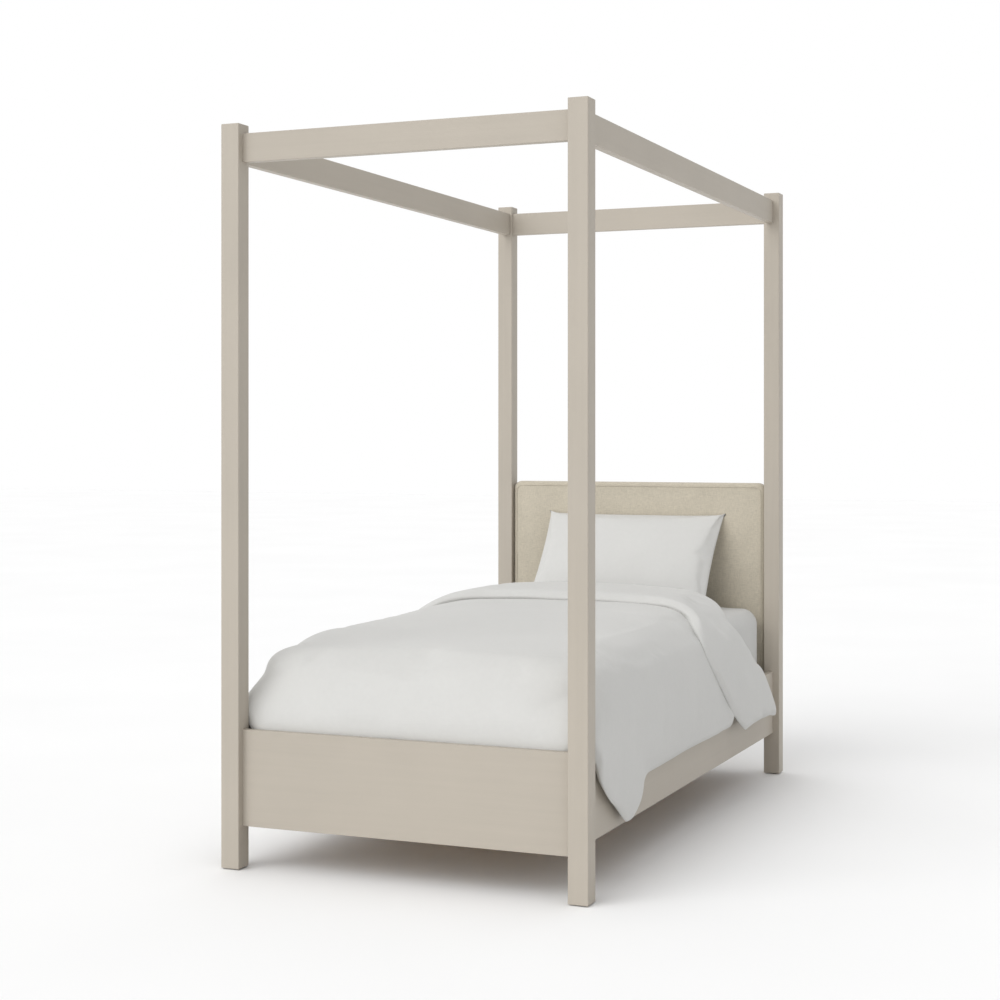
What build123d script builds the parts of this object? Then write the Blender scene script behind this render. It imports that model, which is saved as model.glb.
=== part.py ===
from build123d import *
import os

# Four poster canopy bed, single (twin) size, millimetres.
# +Z up, +X is the right side seen from the foot, -Y the foot end, +Y the head end.
# Origin: centre of the footprint, on the floor.

# ---- Driving dimensions: frame ----
WIDTH = 1105.0            # outer faces of the posts, across
LENGTH = 2084.0           # outer faces of the posts, foot to head
HEIGHT = 2110.0           # floor to post tops
POST = 57.0               # square post section
POST_EASE = 1.5           # chamfer on every edge of a post
GLIDE_HEIGHT = 3.0        # plastic glide under a post
GLIDE_RADII = (20.0, 22.0)
GLIDE_STEM_R = 3.0
GLIDE_STEM = 18.0
RECESS = 23.0             # rails sit this far behind the posts' outer faces

CANOPY_DROP = 26.5        # post top to canopy rail top
CANOPY_HEIGHT = 82.0
CANOPY_THICK = 25.0

PANEL_BOTTOM = 122.0      # footboard panel
PANEL_TOP = 395.0
PANEL_THICK = 22.0

SIDE_BOTTOM = 150.0       # side rails
SIDE_TOP = 372.0
SIDE_THICK = 22.0

CROSS_BOTTOM = 150.0      # head cross rail
CROSS_TOP = 335.0
RAIL_EASE = 1.0

# ---- Driving dimensions: headboard ----
HEADBOARD_BOTTOM = 340.0
HEADBOARD_TOP = 1055.0
HEADBOARD_FRONT = 1000.0  # y of its upholstered face
HEADBOARD_GAP = 0.5       # each side, to the posts
COVER_THICK = 1.5
FOAM_THICK = 20.0
CORE_THICK = 12.0
FRONT_ROUND = 16.0        # rounding of the padded front edge
HEADBOARD_CORNER = 30.0   # radius of its top corners

# ---- Driving dimensions: slat deck ----
SLAT_TOP = 299.0
SLAT_THICK = 18.0
SLAT_WIDTH = 68.0
SLAT_COUNT = 14
SLAT_GAP_END = 4.0        # slat end to side rail
LEDGER_WIDTH = 20.0
LEDGER_HEIGHT = 30.0
SLAT_SCREW = 34.0
LEDGER_SCREW = 32.0
BEAM_WIDTH = 40.0
BEAM_HEIGHT = 60.0
LEG_SECTION = 40.0
LEG_Y = 420.0             # support legs stand this far each side of the middle
LEG_BOTTOM = 24.0

# ---- Driving dimensions: bedding ----
MATTRESS = (965.0, 1905.0, 305.0)
MATTRESS_SHIFT = 40.0     # towards the head
MATTRESS_ROUND = 38.0
SHEET_THICK = 1.5
DUVET_HALF_WIDTH = 562.5
DUVET_TOP = 662.0
DUVET_SIDE_CLEAR = 1.8    # duvet to side rail
DUVET_CLEAR = 1.5         # duvet to fitted sheet
DUVET_FOOT_Y = -988.0
DUVET_FOOT_THICK = 45.0   # where it is tucked down inside the footboard
DUVET_TUCK = 42.0         # its foot hem below the side rails' tops
DUVET_FOOT_INSET = 24.0   # ends of the tucked part, from the posts
DUVET_FOLD_Y = 640.0      # head edge on top
DUVET_FLAP_Y = 240.0      # hem of the part that is folded back
DUVET_FLAP_RISE = 42.0
DUVET_SHOULDER = 34.0     # chamfer along the sides
PILLOW_SIZE = (690.0, 420.0, 130.0)
PILLOW_LEAN = 50.0        # degrees up from the mattress
PILLOW_X = 5.0
CLEAR = 0.6               # soft pieces to their neighbours

# ---- Worked out from the above ----
POST_X = (WIDTH - POST) / 2
POST_Y = (LENGTH - POST) / 2
INNER_X = WIDTH / 2 - POST
INNER_Y = LENGTH / 2 - POST
RAIL_OUT_X = WIDTH / 2 - RECESS
RAIL_OUT_Y = LENGTH / 2 - RECESS
SIDE_X = RAIL_OUT_X - SIDE_THICK / 2
SIDE_Z = (SIDE_BOTTOM + SIDE_TOP) / 2
CANOPY_X = RAIL_OUT_X - CANOPY_THICK / 2
CANOPY_Y = RAIL_OUT_Y - CANOPY_THICK / 2
CANOPY_TOP = HEIGHT - CANOPY_DROP
PANEL_Y = RAIL_OUT_Y - PANEL_THICK / 2
SLAT_BOTTOM = SLAT_TOP - SLAT_THICK
LEDGER_X = RAIL_OUT_X - SIDE_THICK - LEDGER_WIDTH / 2
BEAM_BOTTOM = SLAT_BOTTOM - BEAM_HEIGHT
MATTRESS_TOP = SLAT_TOP + MATTRESS[2]
SHEET_TOP = MATTRESS_TOP + SHEET_THICK

# ---- Knock-down joint: hanger bolt, crescent washer, nut and dowel ----
BOLT_R = 4.0
BOLT_IN_POST = 32.0
BOLT_IN_RAIL = 46.0
DOWEL_R = 4.0
DOWEL_HALF = 18.0
WASHER_THICK = 3.0
WASHER_R = 8.5
NUT_THICK = 6.5
NUT_R = 7.2
POCKET_R = 9.0
POCKET_START = 24.0       # rail end to the washer's seat
POCKET_LENGTH = 26.0
FIT = 0.15                # radial clearance of a fastener in its hole
SET_IN = 0.2              # screw heads sit this far below the surface

CROSS_BOLT_DROP = 20.0    # canopy foot and head rails: bolt below the rail's top
CROSS_DOWEL_DROP = 50.0
ALONG_BOLT_DROP = 40.0    # canopy side rails
ALONG_DOWEL_DROP = 66.0
LOWER_BOLT_Z = {-1: 289.0, 1: 242.5}                      # footboard panel, head cross rail
LOWER_DOWELS = {-1: (60.0, -60.0, -130.0), 1: (60.0, -60.0)}  # heights from the bolt

# ---- Side rail hook joint, heights from the side rail's middle ----
PLATE = (18.0, 3.0, 140.0)
HOOK_NECKS = (25.0, -33.0)
HOOK_SCREWS = (60.0, -3.0, -62.0)
HOOK_THICK = 3.5
HOOK_DEPTH = 7.0
HOOK_HALF = 5.0           # half the height of a hook's neck
HOOK_DROP = 16.0          # hook's tip below its neck's middle
HOOK_PLAY = 0.5
HOOK_SLOT_RISE = 19.0     # slot's top above the neck's middle, so that the rail lifts off
SCREW_R = 2.0
SCREW_HEAD_R = 4.0
SCREW_HEAD = 2.4
HOOK_SCREW_LENGTH = 25.0

PARTS = {}


def keep(name, *shapes):
    """Store the solids of one node."""
    solids = [solid for shape in shapes for solid in shape.solids()]
    PARTS[name] = solids[0] if len(solids) == 1 else Compound(children=solids)


def block(x0, x1, y0, y1, z0, z1):
    """Box between two corners."""
    size = (abs(x1 - x0), abs(y1 - y0), abs(z1 - z0))
    return Pos((x0 + x1) / 2, (y0 + y1) / 2, (z0 + z1) / 2) * Box(*size)


def rod(start, direction, radius, length):
    """Cylinder from a point along a direction."""
    return Plane(origin=start, z_dir=direction) * Cylinder(
        radius, length, align=(Align.CENTER, Align.CENTER, Align.MIN)
    )


def taper(start, direction, r_start, r_end, length):
    """Cone from a point along a direction."""
    return Plane(origin=start, z_dir=direction) * Cone(
        r_start, r_end, length, align=(Align.CENTER, Align.CENTER, Align.MIN)
    )


def moved(point, direction, distance):
    """Point shifted along a direction."""
    return tuple(p + d * distance for p, d in zip(point, direction))


def screw(face_point, direction, length, shank=SCREW_R, head=SCREW_HEAD_R):
    """Countersunk screw with its head flush at face_point, driven along direction."""
    body = rod(face_point, direction, shank, length)
    head_cone = taper(face_point, direction, head, shank, SCREW_HEAD)
    tip = taper(moved(face_point, direction, length), direction, shank, 0.5, 4.0)
    recess = rod(face_point, direction, 1.3, 1.4)
    return body + head_cone + tip - recess


def driven(face_point, direction, length):
    """Screw with its head just below the surface."""
    return screw(moved(face_point, direction, SET_IN), direction, length - SET_IN)


def screw_hole(face_point, direction, length, shank=SCREW_R, head=SCREW_HEAD_R):
    """Hole that clears such a screw."""
    start = moved(face_point, direction, -0.1)
    body = rod(start, direction, shank + FIT, length + 4.6)
    cone = taper(start, direction, head + 4 * FIT, shank + FIT, SCREW_HEAD + 0.1 + FIT)
    return body + cone


def knock_down(end_point, into_post, open_side, reach, dowel_points):
    """Fasteners and cutters of one butt joint.

    end_point is where the bolt's axis meets the post's face and into_post points into the post.
    open_side points from the bolt to the rail's face that its pocket opens on, reach away.
    """
    into_rail = tuple(-c for c in into_post)
    seat = moved(end_point, into_rail, POCKET_START)
    frame = Plane(origin=seat, x_dir=open_side, z_dir=into_rail)
    bolt = rod(moved(end_point, into_post, BOLT_IN_POST), into_rail, BOLT_R, BOLT_IN_POST + BOLT_IN_RAIL)
    washer = Cylinder(WASHER_R, WASHER_THICK, align=(Align.CENTER, Align.CENTER, Align.MIN))
    washer -= Cylinder(BOLT_R + FIT, 3 * WASHER_THICK)
    nut = extrude(RegularPolygon(NUT_R, 6, major_radius=True), NUT_THICK) - Cylinder(BOLT_R + FIT, 40)
    pocket = block(-POCKET_R, reach + 1, -POCKET_R, POCKET_R, 0, POCKET_LENGTH)
    dowels = [
        rod(moved(point, into_post, DOWEL_HALF), into_rail, DOWEL_R, 2 * DOWEL_HALF)
        for point in dowel_points
    ]
    bores = rod(
        moved(end_point, into_post, BOLT_IN_POST + 0.5), into_rail,
        BOLT_R + FIT, BOLT_IN_POST + BOLT_IN_RAIL + 6,
    )
    for point in dowel_points:
        bores += rod(moved(point, into_post, DOWEL_HALF + 0.5), into_rail, DOWEL_R + FIT, 2 * DOWEL_HALF + 1)
    return {
        "bolt": bolt,
        "washer": frame * (Pos(0, 0, 0.1) * washer),
        "nut": frame * (Pos(0, 0, WASHER_THICK + 0.2) * nut),
        "dowels": dowels,
        "bores": bores,
        "pocket": frame * pocket,
    }


def side_name(sign):
    return "right" if sign > 0 else "left"


def end_name(sign):
    return "head" if sign > 0 else "foot"


# ---- Joints between the rails and the posts ----
CUTS = {}
HARDWARE = {"canopy": [], "lower": []}


def add_joint(group, rail, post, joint, pocket=True):
    HARDWARE[group].append(joint)
    CUTS.setdefault(rail, []).append(joint["bores"])
    CUTS.setdefault(post, []).append(joint["bores"])
    if pocket:
        CUTS[rail].append(joint["pocket"])


def make_joints():
    """Work out every knock-down joint and what it cuts."""
    for sx in (-1, 1):
        for sy in (-1, 1):
            post = f"{end_name(sy)}_post_{side_name(sx)}"
            cross = f"canopy_rail_{end_name(sy)}"
            y = sy * CANOPY_Y
            joint = knock_down(
                (sx * INNER_X, y, CANOPY_TOP - CROSS_BOLT_DROP), (sx, 0, 0), (0, 0, 1), CROSS_BOLT_DROP,
                [(sx * INNER_X, y, CANOPY_TOP - CROSS_DOWEL_DROP)],
            )
            add_joint("canopy", cross, post, joint)
            along = f"canopy_rail_{side_name(sx)}"
            x = sx * CANOPY_X
            joint = knock_down(
                (x, sy * INNER_Y, CANOPY_TOP - ALONG_BOLT_DROP), (0, sy, 0), (0, 0, 1), ALONG_BOLT_DROP,
                [(x, sy * INNER_Y, CANOPY_TOP - ALONG_DOWEL_DROP)],
            )
            add_joint("canopy", along, post, joint)
            low_rail = "footboard_panel" if sy < 0 else "head_cross_rail"
            y = sy * PANEL_Y
            bolt_z = LOWER_BOLT_Z[sy]
            joint = knock_down(
                (sx * INNER_X, y, bolt_z), (sx, 0, 0), (0, -sy, 0), PANEL_THICK / 2,
                [(sx * INNER_X, y, bolt_z + offset) for offset in LOWER_DOWELS[sy]],
            )
            add_joint("lower", low_rail, post, joint)


def hook_joint(sx, sy):
    """Plates, brackets, screws and cutters where a side rail hooks on to a post."""
    x = sx * SIDE_X
    face = sy * INNER_Y
    width, thick, tall = PLATE
    z = SIDE_Z
    plate = block(x - width / 2, x + width / 2, face, face + sy * thick, z - tall / 2, z + tall / 2)
    bracket = block(x - width / 2, x + width / 2, face - sy * thick, face, z - tall / 2, z + tall / 2)
    mortise = block(
        x - width / 2 - FIT, x + width / 2 + FIT, face - sy, face + sy * (thick + FIT),
        z - tall / 2 - FIT, z + tall / 2 + FIT,
    )
    rail_cut = block(
        x - width / 2 - FIT, x + width / 2 + FIT, face - sy * (thick + FIT), face + sy,
        z - tall / 2 - FIT, z + tall / 2 + FIT,
    )
    half = HOOK_THICK / 2
    for neck in HOOK_NECKS:
        slot = block(
            x - half - HOOK_PLAY, x + half + HOOK_PLAY, face - sy, face + sy * (thick + 1),
            z + neck - HOOK_HALF - HOOK_PLAY, z + neck + HOOK_SLOT_RISE,
        )
        plate -= slot
        hook = block(
            x - half, x + half, face - sy, face + sy * HOOK_DEPTH, z + neck - HOOK_HALF, z + neck + HOOK_HALF
        )
        hook += block(
            x - half, x + half, face + sy * (thick + HOOK_PLAY), face + sy * HOOK_DEPTH,
            z + neck - HOOK_DROP, z + neck + HOOK_HALF,
        )
        bracket += hook
        mortise += block(
            x - half - 1, x + half + 1, face, face + sy * (HOOK_DEPTH + 1.5),
            z + neck - HOOK_DROP - 2, z + neck + HOOK_SLOT_RISE + 1,
        )
    screws = []
    for height in HOOK_SCREWS:
        point = (x, face, z + height)
        plate -= screw_hole(point, (0, sy, 0), HOOK_SCREW_LENGTH)
        mortise += screw_hole(point, (0, sy, 0), HOOK_SCREW_LENGTH)
        bracket -= screw_hole(point, (0, -sy, 0), HOOK_SCREW_LENGTH)
        rail_cut += screw_hole(point, (0, -sy, 0), HOOK_SCREW_LENGTH)
        screws.append(driven(point, (0, sy, 0), HOOK_SCREW_LENGTH))
        screws.append(driven(point, (0, -sy, 0), HOOK_SCREW_LENGTH))
    CUTS.setdefault(f"{end_name(sy)}_post_{side_name(sx)}", []).append(mortise)
    CUTS.setdefault(f"side_rail_{side_name(sx)}", []).append(rail_cut)
    return plate, bracket, screws


def make_hooks():
    plates = []
    brackets = []
    screws = []
    for sx in (-1, 1):
        for sy in (-1, 1):
            plate, bracket, fixings = hook_joint(sx, sy)
            plates.append(plate)
            brackets.append(bracket)
            screws += fixings
    keep("post_hook_plates", *plates)
    keep("rail_hook_brackets", *brackets)
    keep("hook_plate_screws", *screws)


def cut_and_keep(name, solid):
    """Take every joint's cutters out of a piece and store it."""
    for cutter in CUTS.get(name, []):
        solid -= cutter
    keep(name, solid)


# ---- Frame pieces ----
HEADBOARD_DOWEL_Z = (440.0, 700.0, 960.0)
CORE_Y = HEADBOARD_FRONT + COVER_THICK + FOAM_THICK + CORE_THICK / 2


def headboard_dowel(sx, z):
    return rod((sx * (INNER_X + DOWEL_HALF), CORE_Y, z), (-sx, 0, 0), DOWEL_R, 2 * DOWEL_HALF)


def headboard_dowel_bore(sx, z):
    start = (sx * (INNER_X + DOWEL_HALF + 0.5), CORE_Y, z)
    return rod(start, (-sx, 0, 0), DOWEL_R + FIT, 2 * DOWEL_HALF + 1)


def make_posts():
    glides = []
    for sx in (-1, 1):
        for sy in (-1, 1):
            x = sx * POST_X
            y = sy * POST_Y
            post = Pos(x, y, (HEIGHT + GLIDE_HEIGHT) / 2) * Box(POST, POST, HEIGHT - GLIDE_HEIGHT)
            post = chamfer(post.edges(), POST_EASE)
            post -= Pos(x, y, GLIDE_HEIGHT) * Cylinder(GLIDE_STEM_R + FIT, 2 * GLIDE_STEM + 1)
            if sy > 0:
                for z in HEADBOARD_DOWEL_Z:
                    post -= headboard_dowel_bore(sx, z)
            cut_and_keep(f"{end_name(sy)}_post_{side_name(sx)}", post)
            pad = taper((x, y, 0), (0, 0, 1), *GLIDE_RADII, GLIDE_HEIGHT)
            stem = rod((x, y, GLIDE_HEIGHT - 0.5), (0, 0, 1), GLIDE_STEM_R, GLIDE_STEM)
            glides.append(pad + stem)
    keep("post_glides", *glides)


def make_canopy():
    low = CANOPY_TOP - CANOPY_HEIGHT
    for sign in (-1, 1):
        inner_y = RAIL_OUT_Y - CANOPY_THICK
        cross = block(-INNER_X, INNER_X, sign * inner_y, sign * RAIL_OUT_Y, low, CANOPY_TOP)
        cross = chamfer(cross.edges().filter_by(Axis.X), RAIL_EASE)
        cut_and_keep(f"canopy_rail_{end_name(sign)}", cross)
        inner_x = RAIL_OUT_X - CANOPY_THICK
        along = block(sign * inner_x, sign * RAIL_OUT_X, -INNER_Y, INNER_Y, low, CANOPY_TOP)
        along = chamfer(along.edges().filter_by(Axis.Y), RAIL_EASE)
        cut_and_keep(f"canopy_rail_{side_name(sign)}", along)


def make_lower_rails():
    panel = block(-INNER_X, INNER_X, -RAIL_OUT_Y, -RAIL_OUT_Y + PANEL_THICK, PANEL_BOTTOM, PANEL_TOP)
    panel = chamfer(panel.edges().filter_by(Axis.X), RAIL_EASE)
    cut_and_keep("footboard_panel", panel)
    cross = block(-INNER_X, INNER_X, RAIL_OUT_Y - PANEL_THICK, RAIL_OUT_Y, CROSS_BOTTOM, CROSS_TOP)
    cross = chamfer(cross.edges().filter_by(Axis.X), RAIL_EASE)
    cut_and_keep("head_cross_rail", cross)
    for sx in (-1, 1):
        inner_x = RAIL_OUT_X - SIDE_THICK
        rail = block(sx * inner_x, sx * RAIL_OUT_X, -INNER_Y, INNER_Y, SIDE_BOTTOM, SIDE_TOP)
        rail = chamfer(rail.edges().filter_by(Axis.Y), RAIL_EASE)
        cut_and_keep(f"side_rail_{side_name(sx)}", rail)


def make_hardware():
    for group in ("canopy", "lower"):
        joints = HARDWARE[group]
        keep(f"{group}_hanger_bolts", *[joint["bolt"] for joint in joints])
        keep(f"{group}_washers", *[joint["washer"] for joint in joints])
        keep(f"{group}_nuts", *[joint["nut"] for joint in joints])
        keep(f"{group}_dowels", *[dowel for joint in joints for dowel in joint["dowels"]])


# ---- Slat deck ----
def slat_places():
    span = MATTRESS[1] - SLAT_WIDTH - 30
    return [-span / 2 + span * i / (SLAT_COUNT - 1) for i in range(SLAT_COUNT)]


def make_deck():
    slat_end = RAIL_OUT_X - SIDE_THICK - SLAT_GAP_END
    slat_screws = []
    ledger_holes = {-1: [], 1: []}
    for number, y in enumerate(slat_places(), start=1):
        slat = block(-slat_end, slat_end, y - SLAT_WIDTH / 2, y + SLAT_WIDTH / 2, SLAT_BOTTOM, SLAT_TOP)
        slat = chamfer(slat.edges().filter_by(Axis.X), 2)
        for sx in (-1, 1):
            point = (sx * LEDGER_X, y, SLAT_TOP)
            slat -= screw_hole(point, (0, 0, -1), SLAT_SCREW)
            ledger_holes[sx].append(screw_hole(point, (0, 0, -1), SLAT_SCREW))
            slat_screws.append(driven(point, (0, 0, -1), SLAT_SCREW))
        keep(f"slat_{number:02d}", slat)
    keep("slat_screws", *slat_screws)

    ledger_screws = []
    for sx in (-1, 1):
        ledger = block(
            sx * (LEDGER_X - LEDGER_WIDTH / 2), sx * (LEDGER_X + LEDGER_WIDTH / 2),
            -MATTRESS[1] / 2, MATTRESS[1] / 2, SLAT_BOTTOM - LEDGER_HEIGHT, SLAT_BOTTOM,
        )
        for hole in ledger_holes[sx]:
            ledger -= hole
        rail = PARTS[f"side_rail_{side_name(sx)}"]
        places = slat_places()
        for left, right in list(zip(places, places[1:]))[::3]:
            point = (sx * (LEDGER_X - LEDGER_WIDTH / 2), (left + right) / 2, SLAT_BOTTOM - LEDGER_HEIGHT / 2)
            ledger -= screw_hole(point, (sx, 0, 0), LEDGER_SCREW)
            rail -= screw_hole(point, (sx, 0, 0), LEDGER_SCREW)
            ledger_screws.append(driven(point, (sx, 0, 0), LEDGER_SCREW))
        keep(f"ledger_{side_name(sx)}", ledger)
        keep(f"side_rail_{side_name(sx)}", rail)
    keep("ledger_screws", *ledger_screws)


BRACKET_THICK = 2.5
BRACKET_REACH = 40.0
BRACKET_EAR = 20.0
BRACKET_TOP = SLAT_BOTTOM - 5.0
BRACKET_FIT = 0.3                     # beam to bracket
BRACKET_SCREW_RISE = (10.0, 42.0)     # above the beam's underside
BRACKET_SCREW = 16.0
INSERT_R = 7.0                        # threaded insert in a leg's foot
INSERT_BORE_R = 4.3
INSERT_LENGTH = 20.0
LEG_DOWEL_HALF = 24.0
FOOT_RADII = (17.0, 15.0)             # levelling foot: disc, hexagon and stud
FOOT_HEIGHT = 8.0
FOOT_HEX = 6.0
FOOT_STUD_R = 4.0
FOOT_STUD_TOP = 62.0


def make_beam():
    """Centre beam in a U-shaped steel saddle at each end, on two legs."""
    inner = RAIL_OUT_Y - PANEL_THICK
    beam_end = inner - BRACKET_THICK - 0.5
    half = BEAM_WIDTH / 2
    beam = block(-half, half, -beam_end, beam_end, BEAM_BOTTOM, SLAT_BOTTOM)
    saddles = []
    screws = []
    rails = {-1: PARTS["footboard_panel"], 1: PARTS["head_cross_rail"]}
    for sy in (-1, 1):
        face = sy * inner
        reach = sy * (inner - BRACKET_REACH)
        outer = half + BRACKET_FIT + BRACKET_THICK
        low = BEAM_BOTTOM - BRACKET_FIT - BRACKET_THICK
        saddle = block(-outer, outer, reach, face, low, BRACKET_TOP)
        saddle -= block(
            -half - BRACKET_FIT, half + BRACKET_FIT, reach - sy, face - sy * BRACKET_THICK,
            BEAM_BOTTOM - BRACKET_FIT, SLAT_BOTTOM,
        )
        for sx in (-1, 1):
            ear = block(sx * (outer - 0.1), sx * (outer + BRACKET_EAR), face - sy * BRACKET_THICK, face,
                        low, BRACKET_TOP)
            saddle += ear
            for rise in BRACKET_SCREW_RISE:
                point = (sx * (outer + BRACKET_EAR / 2), face - sy * BRACKET_THICK, BEAM_BOTTOM + rise)
                saddle -= screw_hole(point, (0, sy, 0), BRACKET_SCREW)
                rails[sy] -= screw_hole(point, (0, sy, 0), BRACKET_SCREW)
                screws.append(driven(point, (0, sy, 0), BRACKET_SCREW))
        saddles.append(saddle)
    keep("beam_brackets", *saddles)
    keep("beam_bracket_screws", *screws)
    keep("footboard_panel", rails[-1])
    keep("head_cross_rail", rails[1])

    inserts = []
    for sy in (-1, 1):
        y = sy * LEG_Y
        leg = block(-LEG_SECTION / 2, LEG_SECTION / 2, y - LEG_SECTION / 2, y + LEG_SECTION / 2,
                    LEG_BOTTOM, BEAM_BOTTOM)
        leg = chamfer(leg.edges().filter_by(Axis.Z), 2)
        leg -= rod((0, y, LEG_BOTTOM - 1), (0, 0, 1), INSERT_R + FIT, INSERT_LENGTH + 1 + FIT)
        leg -= rod((0, y, LEG_BOTTOM - 1), (0, 0, 1), FOOT_STUD_R + 0.5, FOOT_STUD_TOP - 2)
        leg -= rod((0, y, BEAM_BOTTOM + 1), (0, 0, -1), DOWEL_R + FIT, LEG_DOWEL_HALF + 2)
        beam -= rod((0, y, BEAM_BOTTOM - 1), (0, 0, 1), DOWEL_R + FIT, LEG_DOWEL_HALF + 2)
        keep(f"support_leg_{end_name(sy)}", leg)
        insert = rod((0, y, LEG_BOTTOM), (0, 0, 1), INSERT_R, INSERT_LENGTH)
        insert -= rod((0, y, LEG_BOTTOM - 1), (0, 0, 1), INSERT_BORE_R, INSERT_LENGTH + 2)
        inserts.append(insert)
        foot = taper((0, y, 0), (0, 0, 1), *FOOT_RADII, FOOT_HEIGHT)
        foot += Pos(0, y, FOOT_HEIGHT + 3) * extrude(RegularPolygon(8, 6, major_radius=True), FOOT_HEX)
        foot += rod((0, y, FOOT_HEIGHT - 1), (0, 0, 1), FOOT_STUD_R, FOOT_STUD_TOP - FOOT_HEIGHT + 1)
        keep(f"leveller_{end_name(sy)}", foot)
    keep("leg_inserts", *inserts)
    keep("centre_beam", beam)
    leg_dowels = [
        rod((0, sy * LEG_Y, BEAM_BOTTOM - LEG_DOWEL_HALF), (0, 0, 1), DOWEL_R, 2 * LEG_DOWEL_HALF)
        for sy in (-1, 1)
    ]
    keep("leg_dowels", *leg_dowels)


# ---- Headboard ----
def headboard_slab(inset, front, back):
    """Upright slab with rounded top corners, inset from the headboard's outline."""
    half = INNER_X - HEADBOARD_GAP - inset
    slab = block(-half, half, front, back, HEADBOARD_BOTTOM + inset, HEADBOARD_TOP - inset)
    top_edges = slab.edges().filter_by(Axis.Y).group_by(Axis.Z)[-1]
    return fillet(top_edges, HEADBOARD_CORNER - inset)


def round_front(slab, radius):
    """Round the padded edge along the front outline."""
    return fillet(slab.faces().sort_by(Axis.Y)[0].edges(), radius)


def make_headboard():
    core_front = HEADBOARD_FRONT + COVER_THICK + FOAM_THICK
    core_back = core_front + CORE_THICK
    skin_back = core_back + COVER_THICK
    foam = round_front(headboard_slab(COVER_THICK, HEADBOARD_FRONT + COVER_THICK, core_front), FRONT_ROUND)
    core = headboard_slab(COVER_THICK, core_front, core_back)
    cover = round_front(headboard_slab(0, HEADBOARD_FRONT, core_back), FRONT_ROUND + COVER_THICK)
    cover -= round_front(
        headboard_slab(COVER_THICK, HEADBOARD_FRONT + COVER_THICK, core_back + 1), FRONT_ROUND
    )
    back = headboard_slab(0, core_back, skin_back)
    dowels = []
    for sx in (-1, 1):
        for z in HEADBOARD_DOWEL_Z:
            core -= headboard_dowel_bore(sx, z)
            cover -= headboard_dowel_bore(sx, z)
            dowels.append(headboard_dowel(sx, z))
    keep("headboard_foam", foam)
    keep("headboard_core", core)
    keep("headboard_cover", cover)
    keep("headboard_back_cover", back)
    keep("headboard_dowels", *dowels)


# ---- Bedding ----
def mattress_block(grow, low, high):
    wide, long, _ = MATTRESS
    slab = block(
        -wide / 2 - grow, wide / 2 + grow,
        MATTRESS_SHIFT - long / 2 - grow, MATTRESS_SHIFT + long / 2 + grow, low, high,
    )
    return fillet(slab.edges().filter_by(Axis.Z), MATTRESS_ROUND + grow)


def make_mattress():
    body = mattress_block(0, SLAT_TOP + 0.3, MATTRESS_TOP)
    body = fillet(body.faces().sort_by(Axis.Z)[-1].edges(), MATTRESS_ROUND * 0.6)
    keep("mattress", body)
    outer = mattress_block(SHEET_THICK, SLAT_TOP + 6, SHEET_TOP)
    outer = fillet(outer.faces().sort_by(Axis.Z)[-1].edges(), MATTRESS_ROUND * 0.6 + SHEET_THICK)
    inner = mattress_block(0.05, SLAT_TOP - 5, MATTRESS_TOP + 0.05)
    inner = fillet(inner.faces().sort_by(Axis.Z)[-1].edges(), MATTRESS_ROUND * 0.6 + 0.05)
    keep("fitted_sheet", outer - inner)


# Outline of a hanging side, (y, z): the foot hem, the drooping corner, the side hem up to the
# folded-back part, and that part's corner and folded edge.
SIDE_OUTLINE = [
    (DUVET_FOOT_Y + 8, SIDE_TOP + 60), (-978, 386), (-929, 294), (-881, 250), (-816, 211), (-745, 160),
    (-659, 168), (-583, 204), (-557, 247), (338, 262), (442, 234), (805, 233), (845, 245), (818, 300),
    (740, 370), (640, 460), (540, 550), (470, SHEET_TOP + 10), (450, SIDE_TOP + 60),
]


def side_drop(sx):
    """One hanging side of the duvet, outside the side rail, as a plate with its hem's outline."""
    inner = RAIL_OUT_X + DUVET_SIDE_CLEAR
    outline = Polyline(*SIDE_OUTLINE, close=True)
    plate = extrude(Plane.YZ * make_face(outline), DUVET_HALF_WIDTH - inner)
    plate = Pos(inner, 0, 0) * plate
    return plate if sx > 0 else mirror(plate, about=Plane.YZ)


def make_duvet():
    inner_x = MATTRESS[0] / 2 + SHEET_THICK + DUVET_CLEAR
    inner_foot = MATTRESS_SHIFT - MATTRESS[1] / 2 - SHEET_THICK - DUVET_CLEAR
    under = SHEET_TOP + DUVET_CLEAR
    flap_top = DUVET_TOP + DUVET_FLAP_RISE
    low = SIDE_TOP + 8
    profile = [
        (DUVET_FOOT_Y, low), (DUVET_FOOT_Y, DUVET_TOP - 110), (DUVET_FOOT_Y + 40, DUVET_TOP - 55),
        (DUVET_FOOT_Y + 120, DUVET_TOP - 18), (DUVET_FOOT_Y + 260, DUVET_TOP),
        (DUVET_FLAP_Y, DUVET_TOP), (DUVET_FLAP_Y + 15, flap_top),
        (DUVET_FOLD_Y - 20, flap_top), (DUVET_FOLD_Y, flap_top - 20), (DUVET_FOLD_Y, low),
    ]
    outline = Polyline(*profile, close=True)
    body = extrude(Plane.YZ * make_face(outline), DUVET_HALF_WIDTH, both=True)
    shoulders = body.edges().filter_by(Axis.Y).filter_by_position(Axis.Z, DUVET_TOP - 1, flap_top + 1)
    body = chamfer(shoulders, DUVET_SHOULDER)
    for sx in (-1, 1):
        body -= block(
            sx * INNER_X - sx * CLEAR * 2, sx * WIDTH, DUVET_FOOT_Y - 1, -INNER_Y + CLEAR * 2, 0, HEIGHT
        )
        body += side_drop(sx)
    body -= block(-inner_x, inner_x, inner_foot, DUVET_FOLD_Y + 400, 0, under)
    foot_half = INNER_X - DUVET_FOOT_INSET
    foot_drop = block(
        -foot_half, foot_half, DUVET_FOOT_Y, DUVET_FOOT_Y + DUVET_FOOT_THICK, SIDE_TOP - DUVET_TUCK, low + 4
    )
    keep("duvet", body + foot_drop)


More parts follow.
